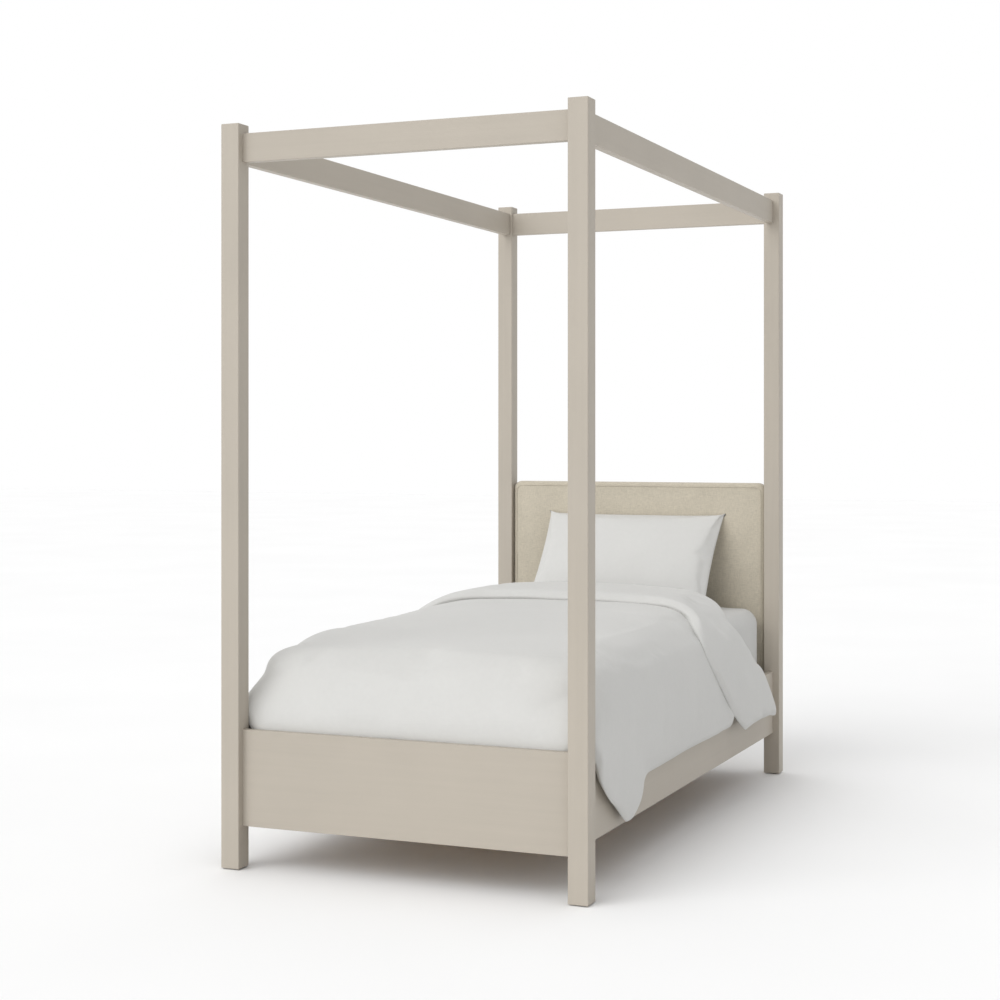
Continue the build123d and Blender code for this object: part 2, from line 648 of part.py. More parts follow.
def make_pillow():
    wide, tall, thick = PILLOW_SIZE
    pillow = Box(wide, tall, thick)
    pillow = fillet(pillow.edges(), thick * 0.42)
    pillow = Rot(PILLOW_LEAN, 0, 0) * pillow
    bounds = pillow.bounding_box()
    shift_y = HEADBOARD_FRONT - CLEAR * 3 - bounds.max.Y
    shift_z = SHEET_TOP + CLEAR * 2 - bounds.min.Z
    keep("pillow", Pos(PILLOW_X, shift_y, shift_z) * pillow)


def main():
    make_joints()
    make_hooks()
    make_posts()
    make_canopy()
    make_lower_rails()
    make_hardware()
    make_deck()
    make_beam()
    make_headboard()
    make_mattress()
    make_duvet()
    make_pillow()
    os.makedirs("parts", exist_ok=True)
    for name, shape in PARTS.items():
        export_step(shape, f"parts/{name}.step")
    print(len(PARTS), "nodes")


main()
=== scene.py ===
import math

import bpy
import numpy as np
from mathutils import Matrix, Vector


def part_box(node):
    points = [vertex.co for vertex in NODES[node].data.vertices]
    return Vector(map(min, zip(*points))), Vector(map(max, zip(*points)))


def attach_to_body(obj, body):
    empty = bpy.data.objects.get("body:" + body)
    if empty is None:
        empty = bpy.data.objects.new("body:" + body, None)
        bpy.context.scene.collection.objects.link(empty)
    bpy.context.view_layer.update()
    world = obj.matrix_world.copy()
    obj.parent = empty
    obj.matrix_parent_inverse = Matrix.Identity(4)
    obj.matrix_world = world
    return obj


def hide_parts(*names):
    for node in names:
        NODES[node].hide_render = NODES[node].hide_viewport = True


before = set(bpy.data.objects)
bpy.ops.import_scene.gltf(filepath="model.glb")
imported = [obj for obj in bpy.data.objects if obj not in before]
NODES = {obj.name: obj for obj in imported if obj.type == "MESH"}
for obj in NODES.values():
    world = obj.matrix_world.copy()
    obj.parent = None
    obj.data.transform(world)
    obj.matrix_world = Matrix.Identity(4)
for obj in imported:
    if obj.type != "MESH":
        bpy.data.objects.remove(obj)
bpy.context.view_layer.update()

# ---- Places read from the frame, in metres ----
SHEET_LOW, SHEET_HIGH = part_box("fitted_sheet")
MATTRESS_LOW, MATTRESS_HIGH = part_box("mattress")
RAIL_LOW, RAIL_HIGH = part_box("side_rail_right")
PANEL_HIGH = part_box("footboard_panel")[1]
HEAD_LOW, HEAD_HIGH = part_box("headboard_cover")
BACK_LOW, BACK_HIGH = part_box("headboard_back_cover")
PILLOW_LOW, PILLOW_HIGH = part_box("pillow")
FOOT_POST_LOW, FOOT_POST_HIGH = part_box("foot_post_right")
HEAD_POST_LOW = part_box("head_post_right")[0]

# ---- Made-up mattress, in metres ----
MATTRESS_CORNER = 0.070    # radius of its corners in plan
SHEET_ROUND = 0.055        # rounding of its top edge
MATTRESS_CROWN = 0.004     # its top falls this much towards the edges
FOOT_SINK = 0.022          # the tucked duvet presses the foot edge down this much
BODY_INSET = 0.003         # mattress inside its sheet
BODY_UNDER = 0.06          # part of the skin that is turned under
SHEET_GROW = 0.0012        # sheet outside the mattress
SHEET_UNDER = 0.09
SHEET_THICK = 0.0008
TAPE_RADIUS = 0.0024
TAPE_SPACING = 0.004       # least distance between two points of a tape
TAPE_LEVELS = (("top", 0.76), ("bottom", 0.07))    # share of the mattress's height


# ---- Numbers and meshes ----
LATTICE = np.random.default_rng(11).uniform(-1, 1, (32, 32, 32))


def soft_noise(points, size):
    """Smooth noise from -1 to 1 at each point. size is one cell's length in metres, or one per axis."""
    p = np.asarray(points, float) / np.asarray(size, float) + 64.0
    low = np.floor(p).astype(int)
    f = p - low
    f = f * f * (3 - 2 * f)
    total = np.zeros(len(p))
    for corner in np.ndindex(2, 2, 2):
        weight = np.prod(np.where(corner, f, 1 - f), axis=1)
        cell = (low + corner) % 32
        total += weight * LATTICE[cell[:, 0], cell[:, 1], cell[:, 2]]
    return total


def smooth_step(low, high, x):
    t = np.clip((np.asarray(x, float) - low) / (high - low), 0, 1)
    return t * t * (3 - 2 * t)


def smooth_line(points, count):
    """Evenly spaced points on a smooth line through the given points."""
    p = np.asarray(points, float)
    p = np.vstack([2 * p[0] - p[1], p, 2 * p[-1] - p[-2]])
    fine = []
    for a, b, c, d in zip(p, p[1:], p[2:], p[3:]):
        t = np.linspace(0, 1, 24, endpoint=False)[:, None]
        fine.append(0.5 * (2 * b + (c - a) * t + (2 * a - 5 * b + 4 * c - d) * t ** 2
                           + (3 * b - a - 3 * c + d) * t ** 3))
    fine = np.vstack(fine + [p[-2:-1]])
    run = np.concatenate([[0], np.cumsum(np.linalg.norm(np.diff(fine, axis=0), axis=1))])
    at = np.linspace(0, run[-1], count)
    return np.stack([np.interp(at, run, fine[:, k]) for k in range(fine.shape[1])], axis=1)


def curve_at(pairs, x):
    """Smooth value at x through (x, value) pairs."""
    xs, values = zip(*pairs)
    line = smooth_line(list(zip(xs, values)), 200)
    return np.interp(x, line[:, 0], line[:, 1])


def new_object(name, verts, faces, smooth=True):
    mesh = bpy.data.meshes.new(name)
    mesh.from_pydata([tuple(v) for v in verts], [], [tuple(f) for f in faces])
    mesh.update()
    if smooth:
        mesh.shade_smooth()
    else:
        mesh.shade_flat()
    obj = bpy.data.objects.new(name, mesh)
    bpy.context.scene.collection.objects.link(obj)
    return obj


def grid_faces(rows, cols, start=0, flip=False):
    """Quads of a grid of points, numbered row by row."""
    faces = []
    for r in range(rows - 1):
        for c in range(cols - 1):
            corner = start + r * cols + c
            quad = (corner, corner + 1, corner + cols + 1, corner + cols)
            faces.append(quad[::-1] if flip else quad)
    return faces


def border_indices(rows, cols):
    """Numbers of a grid's outermost points, once round."""
    return ([c for c in range(cols)] + [r * cols + cols - 1 for r in range(1, rows)]
            + [(rows - 1) * cols + c for c in range(cols - 2, -1, -1)]
            + [r * cols for r in range(rows - 2, 0, -1)])


def bridge_loops(faces, ring, loops, start):
    """Join a ring of points to one loop after another, and return the last loop's numbers."""
    previous = ring
    for _ in loops:
        current = list(range(start, start + len(ring)))
        for k in range(len(ring)):
            n = (k + 1) % len(ring)
            faces.append((previous[n], previous[k], current[k], current[n]))
        previous = current
        start += len(ring)
    return previous


def get_points(obj):
    co = np.empty(len(obj.data.vertices) * 3)
    obj.data.vertices.foreach_get("co", co)
    return co.reshape(-1, 3)


def set_points(obj, points):
    obj.data.vertices.foreach_set("co", np.asarray(points, float).ravel())
    obj.data.update()


def apply_modifiers(obj):
    bpy.context.view_layer.update()
    depsgraph = bpy.context.evaluated_depsgraph_get()
    mesh = bpy.data.meshes.new_from_object(obj.evaluated_get(depsgraph))
    old = obj.data
    obj.modifiers.clear()
    obj.data = mesh
    bpy.data.meshes.remove(old)


def thicken(obj, thickness):
    """Give a skin its cloth's thickness, inwards."""
    modifier = obj.modifiers.new("cloth_thickness", "SOLIDIFY")
    modifier.thickness = thickness
    modifier.offset = -1.0
    apply_modifiers(obj)


def attach(obj, material, body, replaces=None):
    """Dress a visible piece, put it on its body and hide the CAD node that it replaces."""
    obj.data.materials.append(material)
    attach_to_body(obj, body)
    if replaces is not None:
        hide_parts(replaces)


def subdivide(obj, levels=1):
    modifier = obj.modifiers.new("smooth", "SUBSURF")
    modifier.levels = levels
    modifier.render_levels = levels
    apply_modifiers(obj)
    obj.data.shade_smooth()


def normals_of(grid):
    """Unit normals of a grid of points, rows along the bed and columns across it."""
    along = np.gradient(grid, axis=0)
    across = np.gradient(grid, axis=1)
    n = np.cross(across, along)
    return n / np.maximum(np.linalg.norm(n, axis=2, keepdims=True), 1e-9)


def shell(name, mid, half):
    """Closed padded sheet: a grid of middle points and half its thickness at each."""
    rows, cols = mid.shape[:2]
    n = normals_of(mid)
    outer = (mid + n * half[..., None]).reshape(-1, 3)
    inner = (mid - n * half[..., None]).reshape(-1, 3)
    count = rows * cols
    faces = grid_faces(rows, cols) + grid_faces(rows, cols, start=count, flip=True)
    border = border_indices(rows, cols)
    for a, b in zip(border, border[1:] + border[:1]):
        faces.append((b, a, a + count, b + count))
    return new_object(name, np.vstack([outer, inner]), faces)


def puff(obj, pressure, frames, cap, shrink=0.0, tension=12.0, bending=0.3, mass=0.2):
    """Cloth simulation with air pressure and no gravity. No point moves further than cap."""
    start = get_points(obj)
    modifier = obj.modifiers.new("cloth", "CLOTH")
    cloth = modifier.settings
    cloth.quality = 6
    cloth.mass = mass
    cloth.tension_stiffness = tension
    cloth.compression_stiffness = tension
    cloth.shear_stiffness = tension * 0.4
    cloth.bending_stiffness = bending
    cloth.air_damping = 2.0
    cloth.use_pressure = True
    cloth.uniform_pressure_force = pressure
    cloth.shrink_min = shrink
    cloth.effector_weights.gravity = 0.0
    modifier.collision_settings.use_collision = False
    modifier.collision_settings.use_self_collision = False
    modifier.point_cache.frame_start = 1
    modifier.point_cache.frame_end = frames
    scene = bpy.context.scene
    scene.frame_start = 1
    scene.frame_end = frames
    for number in range(1, frames + 1):
        scene.frame_set(number)
    apply_modifiers(obj)
    scene.frame_set(1)
    moved = get_points(obj) - start
    length = np.linalg.norm(moved, axis=1, keepdims=True)
    set_points(obj, start + moved * np.minimum(1, cap / np.maximum(length, 1e-9)))


def foot_sink(y):
    """How far the tucked duvet presses the mattress's top edge down at the foot."""
    return FOOT_SINK * smooth_step(-0.60, -0.92, y)


def push_off_mattress(points, gap):
    """Move points that lie inside the made-up mattress, with its rounded corners, out to its surface."""
    centre = np.array([(SHEET_LOW.x + SHEET_HIGH.x) / 2, (SHEET_LOW.y + SHEET_HIGH.y) / 2])
    half = np.array([(SHEET_HIGH.x - SHEET_LOW.x) / 2, (SHEET_HIGH.y - SHEET_LOW.y) / 2]) + gap
    out = points[:, :2] - centre
    a = np.abs(out) - (half - MATTRESS_CORNER)
    beyond = np.maximum(a, 0)
    length = np.linalg.norm(beyond, axis=1)
    flat_side = np.eye(2)[a.argmax(axis=1)]
    plan_way = np.where((length > 1e-9)[:, None], beyond / np.maximum(length, 1e-9)[:, None], flat_side)
    plan = np.where(length > 1e-9, length, a.max(axis=1)) - MATTRESS_CORNER + SHEET_ROUND
    up = points[:, 2] - (SHEET_HIGH.z + gap - SHEET_ROUND - foot_sink(points[:, 1]))
    distance = (np.hypot(np.maximum(plan, 0), np.maximum(up, 0)) + np.minimum(np.maximum(plan, up), 0)
                - SHEET_ROUND)
    both = (plan > 0) & (up > 0)
    reach = np.maximum(np.hypot(plan, up), 1e-9)
    sideways = np.where(both, plan / reach, plan > up)
    upwards = np.where(both, up / reach, plan <= up)
    push = np.maximum(-distance, 0)
    points = points.copy()
    points[:, :2] += np.sign(out) * plan_way * (push * sideways)[:, None]
    points[:, 2] += push * upwards
    return points


# ---- Materials ----
class Nodes:
    """A node material under construction."""

    def __init__(self, name):
        self.material = bpy.data.materials.new(name)
        self.material.use_nodes = True
        self.tree = self.material.node_tree
        self.shader = self.tree.nodes["Principled BSDF"]

    def add(self, kind, inputs=None, **settings):
        node = self.tree.nodes.new(kind)
        for key, value in settings.items():
            setattr(node, key, value)
        for key, value in (inputs or {}).items():
            self.put(node.inputs[key], value)
        return node

    def put(self, socket, value):
        if isinstance(value, bpy.types.NodeSocket):
            self.tree.links.new(value, socket)
        else:
            socket.default_value = value

    def coords(self, scale=(1, 1, 1), rotation=(0, 0, 0)):
        place = self.add("ShaderNodeTexCoord").outputs["Object"]
        mapping = self.add("ShaderNodeMapping", {"Vector": place, "Scale": scale, "Rotation": rotation})
        return mapping.outputs["Vector"]

    def noise(self, vector, scale, detail=3.0, rough=0.55):
        node = self.add("ShaderNodeTexNoise", {"Vector": vector, "Scale": scale, "Detail": detail,
                                               "Roughness": rough})
        return node.outputs["Fac"]

    def wave(self, vector, scale, direction="X", distortion=0.0, detail_scale=1.0):
        node = self.add("ShaderNodeTexWave", {"Vector": vector, "Scale": scale, "Distortion": distortion,
                                              "Detail": 2.0, "Detail Scale": detail_scale},
                        wave_type="BANDS", bands_direction=direction, wave_profile="SIN")
        return node.outputs["Fac"]

    def math(self, operation, a, b=0.5):
        node = self.add("ShaderNodeMath", operation=operation)
        self.put(node.inputs[0], a)
        self.put(node.inputs[1], b)
        return node.outputs[0]

    def ramp(self, value, stops):
        node = self.add("ShaderNodeValToRGB", {"Fac": value})
        ramp = node.color_ramp
        while len(ramp.elements) < len(stops):
            ramp.elements.new(0.5)
        for element, (place, colour) in zip(ramp.elements, stops):
            element.position = place
            element.color = (*colour, 1.0)
        return node.outputs["Color"]

    def range(self, value, low, high):
        node = self.add("ShaderNodeMapRange", {"Value": value, "To Min": low, "To Max": high})
        return node.outputs["Result"]

    def bump(self, height, distance, strength=1.0, normal=None):
        node = self.add("ShaderNodeBump", {"Height": height, "Distance": distance, "Strength": strength})
        if normal is not None:
            self.put(node.inputs["Normal"], normal)
        return node.outputs["Normal"]

    def finish(self, colour=None, roughness=None, normal=None, **constants):
        if colour is not None:
            self.put(self.shader.inputs["Base Color"], colour)
        if roughness is not None:
            self.put(self.shader.inputs["Roughness"], roughness)
        if normal is not None:
            self.put(self.shader.inputs["Normal"], normal)
        for key, value in constants.items():
            self.shader.inputs[key.replace("_", " ")].default_value = value
        return self.material


def shade(colour, factor):
    return tuple(min(1.0, c * factor) for c in colour)


def stretched(axis, along, across):
    """Mapping scale that stretches a texture along one axis."""
    scale = [across, across, across]
    scale["XYZ".index(axis)] = along
    return tuple(scale)


PAINT = (0.455, 0.411, 0.349)
LINEN = (0.550, 0.500, 0.405)
COTTON = (0.625, 0.622, 0.604)
PINE = (0.62, 0.42, 0.23)
STEEL = (0.56, 0.57, 0.58)


def paint_material(name, axis):
    """Satin paint over planed timber, with the grain faintly showing along one axis."""
    m = Nodes(name)
    grain = m.noise(m.coords(stretched(axis, 1.6, 60)), 1.0, detail=6.0, rough=0.6)
    cloud = m.noise(m.coords(), 3.5, detail=3.0)
    both = m.math("ADD", m.math("MULTIPLY", grain, 0.45), m.math("MULTIPLY", cloud, 0.55))
    colour = m.ramp(both, [(0.32, shade(PAINT, 0.955)), (0.5, PAINT), (0.70, shade(PAINT, 1.035))])
    brush = m.noise(m.coords(stretched(axis, 9, 420)), 1.0, detail=2.0)
    orange_peel = m.noise(m.coords(), 260.0, detail=1.0)
    height = m.math("ADD", m.math("MULTIPLY", grain, 0.6), m.math("MULTIPLY", brush, 0.5))
    normal = m.bump(height, 0.0006, 0.55)
    normal = m.bump(orange_peel, 0.00012, 0.5, normal)
    roughness = m.range(m.noise(m.coords(), 14.0, detail=4.0), 0.40, 0.56)
    return m.finish(colour, roughness, normal, Specular_IOR_Level=0.42)


def wood_material(name, axis, colour=PINE, rings=26.0):
    """Bare planed softwood with its grain along one axis."""
    m = Nodes(name)
    lines = m.wave(m.coords(stretched(axis, 0.5, 6)), rings, "X" if axis != "X" else "Y",
                   distortion=5.0, detail_scale=1.2)
    pores = m.noise(m.coords(stretched(axis, 12, 500)), 1.0, detail=3.0)
    mix = m.math("ADD", m.math("MULTIPLY", lines, 0.6), m.math("MULTIPLY", pores, 0.4))
    tint = m.ramp(mix, [(0.15, shade(colour, 0.72)), (0.55, colour), (0.9, shade(colour, 1.22))])
    normal = m.bump(pores, 0.0004, 0.5)
    return m.finish(tint, m.range(pores, 0.55, 0.75), normal, Specular_IOR_Level=0.3)


def steel_material(name):
    """Zinc plated steel with a faint spangle and scuffs."""
    m = Nodes(name)
    spangle = m.add("ShaderNodeTexVoronoi", {"Vector": m.coords(), "Scale": 420.0}).outputs["Distance"]
    scuff = m.noise(m.coords((90, 90, 700)), 1.0, detail=4.0)
    colour = m.ramp(m.math("ADD", m.math("MULTIPLY", spangle, 0.5), m.math("MULTIPLY", scuff, 0.5)),
                    [(0.2, shade(STEEL, 0.8)), (0.6, STEEL), (0.85, shade(STEEL, 1.15))])
    return m.finish(colour, m.range(scuff, 0.28, 0.5), m.bump(scuff, 0.0002, 0.4), Metallic=1.0)


def plastic_material(name, colour):
    m = Nodes(name)
    grain = m.noise(m.coords(), 900.0, detail=2.0)
    cloud = m.noise(m.coords(), 60.0, detail=3.0)
    tint = m.ramp(cloud, [(0.3, shade(colour, 0.85)), (0.7, shade(colour, 1.1))])
    return m.finish(tint, m.range(grain, 0.45, 0.62), m.bump(grain, 0.0002, 0.4))


def weave_height(m, across, up, pitch):
    """Height of a plain weave: threads along two axes, over and under in turn."""
    scale = 1.0 / pitch
    flat = m.coords()
    warp = m.wave(flat, scale * 0.314, across, distortion=0.35, detail_scale=3.0)
    weft = m.wave(flat, scale * 0.314, up, distortion=0.35, detail_scale=3.0)
    return m.math("ADD", m.math("MULTIPLY", warp, 0.5), m.math("MULTIPLY", weft, 0.5))


def linen_material(name):
    """Heavy upholstery linen: plain weave with thicker slubs and heathered threads."""
    m = Nodes(name)
    weave = weave_height(m, "X", "Z", 0.0021)
    slub_x = m.noise(m.coords((70, 300, 620)), 1.0, detail=3.0)
    slub_z = m.noise(m.coords((620, 300, 70)), 1.0, detail=3.0)
    slubs = m.math("ADD", m.math("MULTIPLY", slub_x, 0.5), m.math("MULTIPLY", slub_z, 0.5))
    cloud = m.noise(m.coords(), 5.0, detail=3.0)
    mix = m.math("ADD", m.math("MULTIPLY", slubs, 0.75), m.math("MULTIPLY", cloud, 0.25))
    colour = m.ramp(mix, [(0.34, shade(LINEN, 0.80)), (0.5, LINEN), (0.66, shade(LINEN, 1.18))])
    height = m.math("ADD", m.math("MULTIPLY", weave, 0.5), m.math("MULTIPLY", slubs, 0.9))
    normal = m.bump(height, 0.0011, 0.8)
    return m.finish(colour, m.range(slubs, 0.78, 0.95), normal, Specular_IOR_Level=0.2,
                    Sheen_Weight=0.25, Sheen_Roughness=0.5)


def cotton_material(name, colour=COTTON, wrinkle=0.0022, weave=0.0009):
    """Washed cotton percale: fine weave, soft creases and a faint sheen."""
    m = Nodes(name)
    threads = weave_height(m, "X", "Y", weave)
    crease = m.noise(m.coords(), 16.0, detail=4.0, rough=0.5)
    ridge = m.math("ABSOLUTE", m.math("SUBTRACT", crease, 0.5))
    fine = m.noise(m.coords(), 70.0, detail=3.0)
    cloud = m.noise(m.coords(), 4.0, detail=2.0)
    tint = m.ramp(m.math("ADD", m.math("MULTIPLY", cloud, 0.6), m.math("MULTIPLY", fine, 0.4)),
                  [(0.3, shade(colour, 0.972)), (0.7, shade(colour, 1.02))])
    normal = m.bump(ridge, wrinkle, 0.35)
    normal = m.bump(fine, 0.0007, 0.35, normal)
    normal = m.bump(threads, 0.00018, 0.6, normal)
    return m.finish(tint, m.range(fine, 0.82, 0.94), normal, Specular_IOR_Level=0.18,
                    Sheen_Weight=0.18, Sheen_Roughness=0.45)


def ticking_material(name):
    """Quilted knit of the mattress: diamond quilting and a fine rib, with painted shade in the quilting's
    grooves and painted light on its raised puffs.
    """
    m = Nodes(name)
    a = m.wave(m.coords(rotation=(0, 0, math.radians(45))), 3.6, "X")
    b = m.wave(m.coords(rotation=(0, 0, math.radians(45))), 3.6, "Y")
    quilt = m.math("POWER", m.math("MULTIPLY", a, b), 0.35)
    rib = m.wave(m.coords(), 140.0, "Z")
    base = (0.74, 0.73, 0.70)
    # the quilting's height also sets the colour: painted shade in its grooves, painted light on its raised
    # puffs
    tint = m.ramp(quilt, [(0.05, shade(base, 0.78)), (0.35, base), (1.0, shade(base, 1.08))])
    normal = m.bump(quilt, 0.006, 0.8)
    normal = m.bump(rib, 0.0004, 0.5, normal)
    return m.finish(tint, m.range(rib, 0.8, 0.92), normal, Specular_IOR_Level=0.2, Sheen_Weight=0.2)


def lining_material(name, colour):
    """Thin non-woven dust cover on the back of the headboard."""
    m = Nodes(name)
    felt = m.noise(m.coords(), 420.0, detail=5.0, rough=0.7)
    cloud = m.noise(m.coords(), 9.0, detail=3.0)
    dots = m.add("ShaderNodeTexVoronoi", {"Vector": m.coords(), "Scale": 260.0}).outputs["Distance"]
    mix = m.math("ADD", m.math("MULTIPLY", felt, 0.6), m.math("MULTIPLY", cloud, 0.4))
    tint = m.ramp(mix, [(0.3, shade(colour, 0.8)), (0.7, shade(colour, 1.15))])
    normal = m.bump(dots, 0.0005, 0.6)
    return m.finish(tint, m.range(felt, 0.85, 0.97), normal, Specular_IOR_Level=0.15)


def foam_material(name):
    m = Nodes(name)
    cells = m.add("ShaderNodeTexVoronoi", {"Vector": m.coords(), "Scale": 500.0}).outputs["Distance"]
    base = (0.80, 0.72, 0.50)
    # darker at the centre of each cell, where the bump dips: painted shade in the foam's pores
    tint = m.ramp(cells, [(0.1, shade(base, 0.75)), (0.6, base)])
    return m.finish(tint, m.range(cells, 0.8, 0.95), m.bump(cells, 0.0008, 0.7))


def dress(name, material):
    """Give a CAD node its material."""
    slots = NODES[name].data.materials
    slots.clear()
    slots.append(material)


def dress_frame():
    paint = {axis: paint_material(f"paint_{axis.lower()}", axis) for axis in "XYZ"}
    pine = {axis: wood_material(f"pine_{axis.lower()}", axis) for axis in "XYZ"}
    steel = steel_material("zinc_steel")
    beech = wood_material("beech", "X", (0.66, 0.46, 0.27), 60.0)
    for end in ("foot", "head"):
        dress(f"canopy_rail_{end}", paint["X"])
        dress(f"support_leg_{end}", pine["Z"])
        dress(f"leveller_{end}", steel)
        for side in ("left", "right"):
            dress(f"{end}_post_{side}", paint["Z"])
    for side in ("left", "right"):
        dress(f"canopy_rail_{side}", paint["Y"])
        dress(f"side_rail_{side}", paint["Y"])
        dress(f"ledger_{side}", pine["Y"])
    dress("footboard_panel", paint["X"])
    dress("head_cross_rail", paint["X"])
    dress("centre_beam", pine["Y"])
    dress("headboard_core", wood_material("plywood", "X", (0.60, 0.43, 0.25), 12.0))
    dress("headboard_foam", foam_material("foam"))
    dress("post_glides", plastic_material("glide_plastic", (0.20, 0.19, 0.17)))
    for name in NODES:
        if name.startswith("slat_") and name != "slat_screws":
            dress(name, pine["X"])
        elif name.endswith("_dowels"):
            dress(name, beech)
        elif name.endswith(("_screws", "_bolts", "_nuts", "_washers", "_plates", "_brackets", "_inserts")):
            dress(name, steel)


# ---- Rounded panels, for the headboard and the mattress ----
def rounded_grid(half_x, half_y, radius, cols, rows):
    """Grid over a rectangle with round corners, and each point's distance from the edge."""
    def spread(half, count):
        inner = np.linspace(-(half - radius), half - radius, count)
        edge = radius * np.sin(np.linspace(0, math.pi / 2, 9))[1:]
        return np.concatenate([-(half - radius) - edge[::-1], inner, half - radius + edge])

    x, y = np.meshgrid(spread(half_x, cols), spread(half_y, rows))
    a = (np.abs(x) - (half_x - radius)) / radius
    b = (np.abs(y) - (half_y - radius)) / radius
    corner = (a > 0) & (b > 0)
    m = np.maximum(a, b)
    pull = np.where(corner, m / np.maximum(np.hypot(a, b), 1e-9), 1.0)
    new_x = np.where(corner, np.sign(x) * (half_x - radius + a * radius * pull), x)
    new_y = np.where(corner, np.sign(y) * (half_y - radius + b * radius * pull), y)
    return new_x, new_y, radius * (1 - m)


def tube(name, line, radius, sides=8):
    """Round cord along a closed line of points."""
    line = np.asarray(line, float)
    count = len(line)
    tangent = np.roll(line, -1, axis=0) - np.roll(line, 1, axis=0)
    tangent /= np.linalg.norm(tangent, axis=1, keepdims=True)
    up = np.array([0.0, 1.0, 0.0])
    side = np.cross(tangent, up)
    side /= np.maximum(np.linalg.norm(side, axis=1, keepdims=True), 1e-9)
    top = np.cross(side, tangent)
    turn = np.linspace(0, 2 * math.pi, sides, endpoint=False)
    rings = (line[:, None] + radius * (np.cos(turn)[None, :, None] * side[:, None]
                                       + np.sin(turn)[None, :, None] * top[:, None]))
    verts = rings.reshape(-1, 3)
    faces = []
    for i in range(count):
        j = (i + 1) % count
        for k in range(sides):
            n = (k + 1) % sides
            faces.append((i * sides + k, i * sides + n, j * sides + n, j * sides + k))
    return new_object(name, verts, faces)


# ---- Headboard ----
WELT_INSET = 0.0150
WELT_RADIUS = 0.0022
WELT_POINTS = 420
HEAD_CORNER = 0.030        # radius of its corners, seen from the front
HEAD_ROUND = 0.015         # rounding of its front edge
HEAD_CROWN = 0.0045        # its middle stands this far forward
HEAD_THICK = 0.0012
BACK_INSET = 0.004         # dust cover inside the back's edges
BACK_CORNER = 0.026
BACK_THICK = 0.0004
STAPLE_PITCH = 0.045
STAPLE_INSET = 0.006
STAPLE_CORNER = 0.030      # corner to the first staple
STAPLE_SIZE = (0.0055, 0.0007, 0.0005)    # half its length, its height, half its width


def head_plan():
    """Half the headboard's width, half its height and its middle's height."""
    return ((HEAD_HIGH.x - HEAD_LOW.x) / 2, (HEAD_HIGH.z - HEAD_LOW.z) / 2, (HEAD_HIGH.z + HEAD_LOW.z) / 2)


def head_sides(outline, centre_z):
    """Loops down the boxed sides and round on to the back."""
    front, back = HEAD_LOW.y, HEAD_HIGH.y
    loops = []
    for depth in (0.25, 0.55, 0.85, 1.0):
        loop = outline.copy()
        loop[:, 1] = front + HEAD_ROUND + (back - front - HEAD_ROUND) * depth
        loops.append(loop)
    tucked = loops[-1].copy()
    centre = np.array([0, back, centre_z])
    for inset, depth in ((0.012, 0.0006), (0.034, 0.0002)):
        loop = tucked.copy()
        direction = centre - loop
        direction[:, 1] = 0
        loop += direction / np.abs(direction).max(axis=1, keepdims=True) * inset
        loop[:, 1] = back - depth
        loops.append(loop)
    return loops


def make_headboard_cover(linen):
    """Padded front and boxed sides of the upholstered headboard, as one cover."""
    half_x, half_z, centre_z = head_plan()
    x, z, edge = rounded_grid(half_x, half_z, HEAD_CORNER, 74, 52)
    rounding = HEAD_ROUND - np.sqrt(np.maximum(HEAD_ROUND ** 2 - np.maximum(HEAD_ROUND - edge, 0) ** 2, 0))
    inner_edge = np.minimum(half_x - np.abs(x), half_z - np.abs(z))
    crown = -HEAD_CROWN * smooth_step(0.012, 0.11, inner_edge)
    seam = 0.0008 * np.exp(-((inner_edge - WELT_INSET) / 0.0028) ** 2)
    points = np.stack([x, HEAD_LOW.y + rounding + crown + seam, z + centre_z], axis=2).reshape(-1, 3)
    ripple = 0.0007 * soft_noise(points, (0.045, 1.0, 0.30)) + 0.0009 * soft_noise(points, 0.16)
    gather = np.exp(-inner_edge.reshape(-1) / 0.03)
    ripple += 0.0007 * gather * soft_noise(points, (0.014, 1.0, 0.014))
    points[:, 1] -= np.abs(ripple) * (edge.reshape(-1) > HEAD_ROUND * 0.4)
    ring = border_indices(*x.shape)
    loops = head_sides(points[ring], centre_z)
    faces = grid_faces(*x.shape)
    bridge_loops(faces, ring, loops, len(points))
    cover = new_object("headboard_upholstery", np.vstack([points] + loops), faces)
    thicken(cover, HEAD_THICK)
    attach(cover, linen, "frame", "headboard_cover")


def make_headboard_welt(linen):
    """Covered cord sewn round the front, a little inside its edge."""
    half_x, half_z, centre_z = head_plan()
    corner = HEAD_CORNER - WELT_INSET * 0.5
    line_x = half_x - WELT_INSET
    line_z = half_z - WELT_INSET
    path = []
    for cx, cz, begin in ((1, 1, 0), (-1, 1, 90), (-1, -1, 180), (1, -1, 270)):
        for angle in np.radians(np.linspace(begin, begin + 90, 9)):
            path.append((cx * (line_x - corner) + corner * math.cos(angle), 0,
                         cz * (line_z - corner) + corner * math.sin(angle)))
    path = np.array(path + path[:1])
    run = np.concatenate([[0], np.cumsum(np.linalg.norm(np.diff(path, axis=0), axis=1))])
    at = np.linspace(0, run[-1], WELT_POINTS, endpoint=False)
    line = np.stack([np.interp(at, run, path[:, k]) for k in range(3)], axis=1)
    line[:, 1] = HEAD_LOW.y - 0.0003
    line[:, 2] += centre_z
    attach(tube("headboard_welt", line, WELT_RADIUS), linen, "frame")


def back_plan():
    """Half the dust cover's width, half its height and its middle's height."""
    return ((BACK_HIGH.x - BACK_LOW.x) / 2 - BACK_INSET, (BACK_HIGH.z - BACK_LOW.z) / 2 - BACK_INSET,
            (BACK_HIGH.z + BACK_LOW.z) / 2)


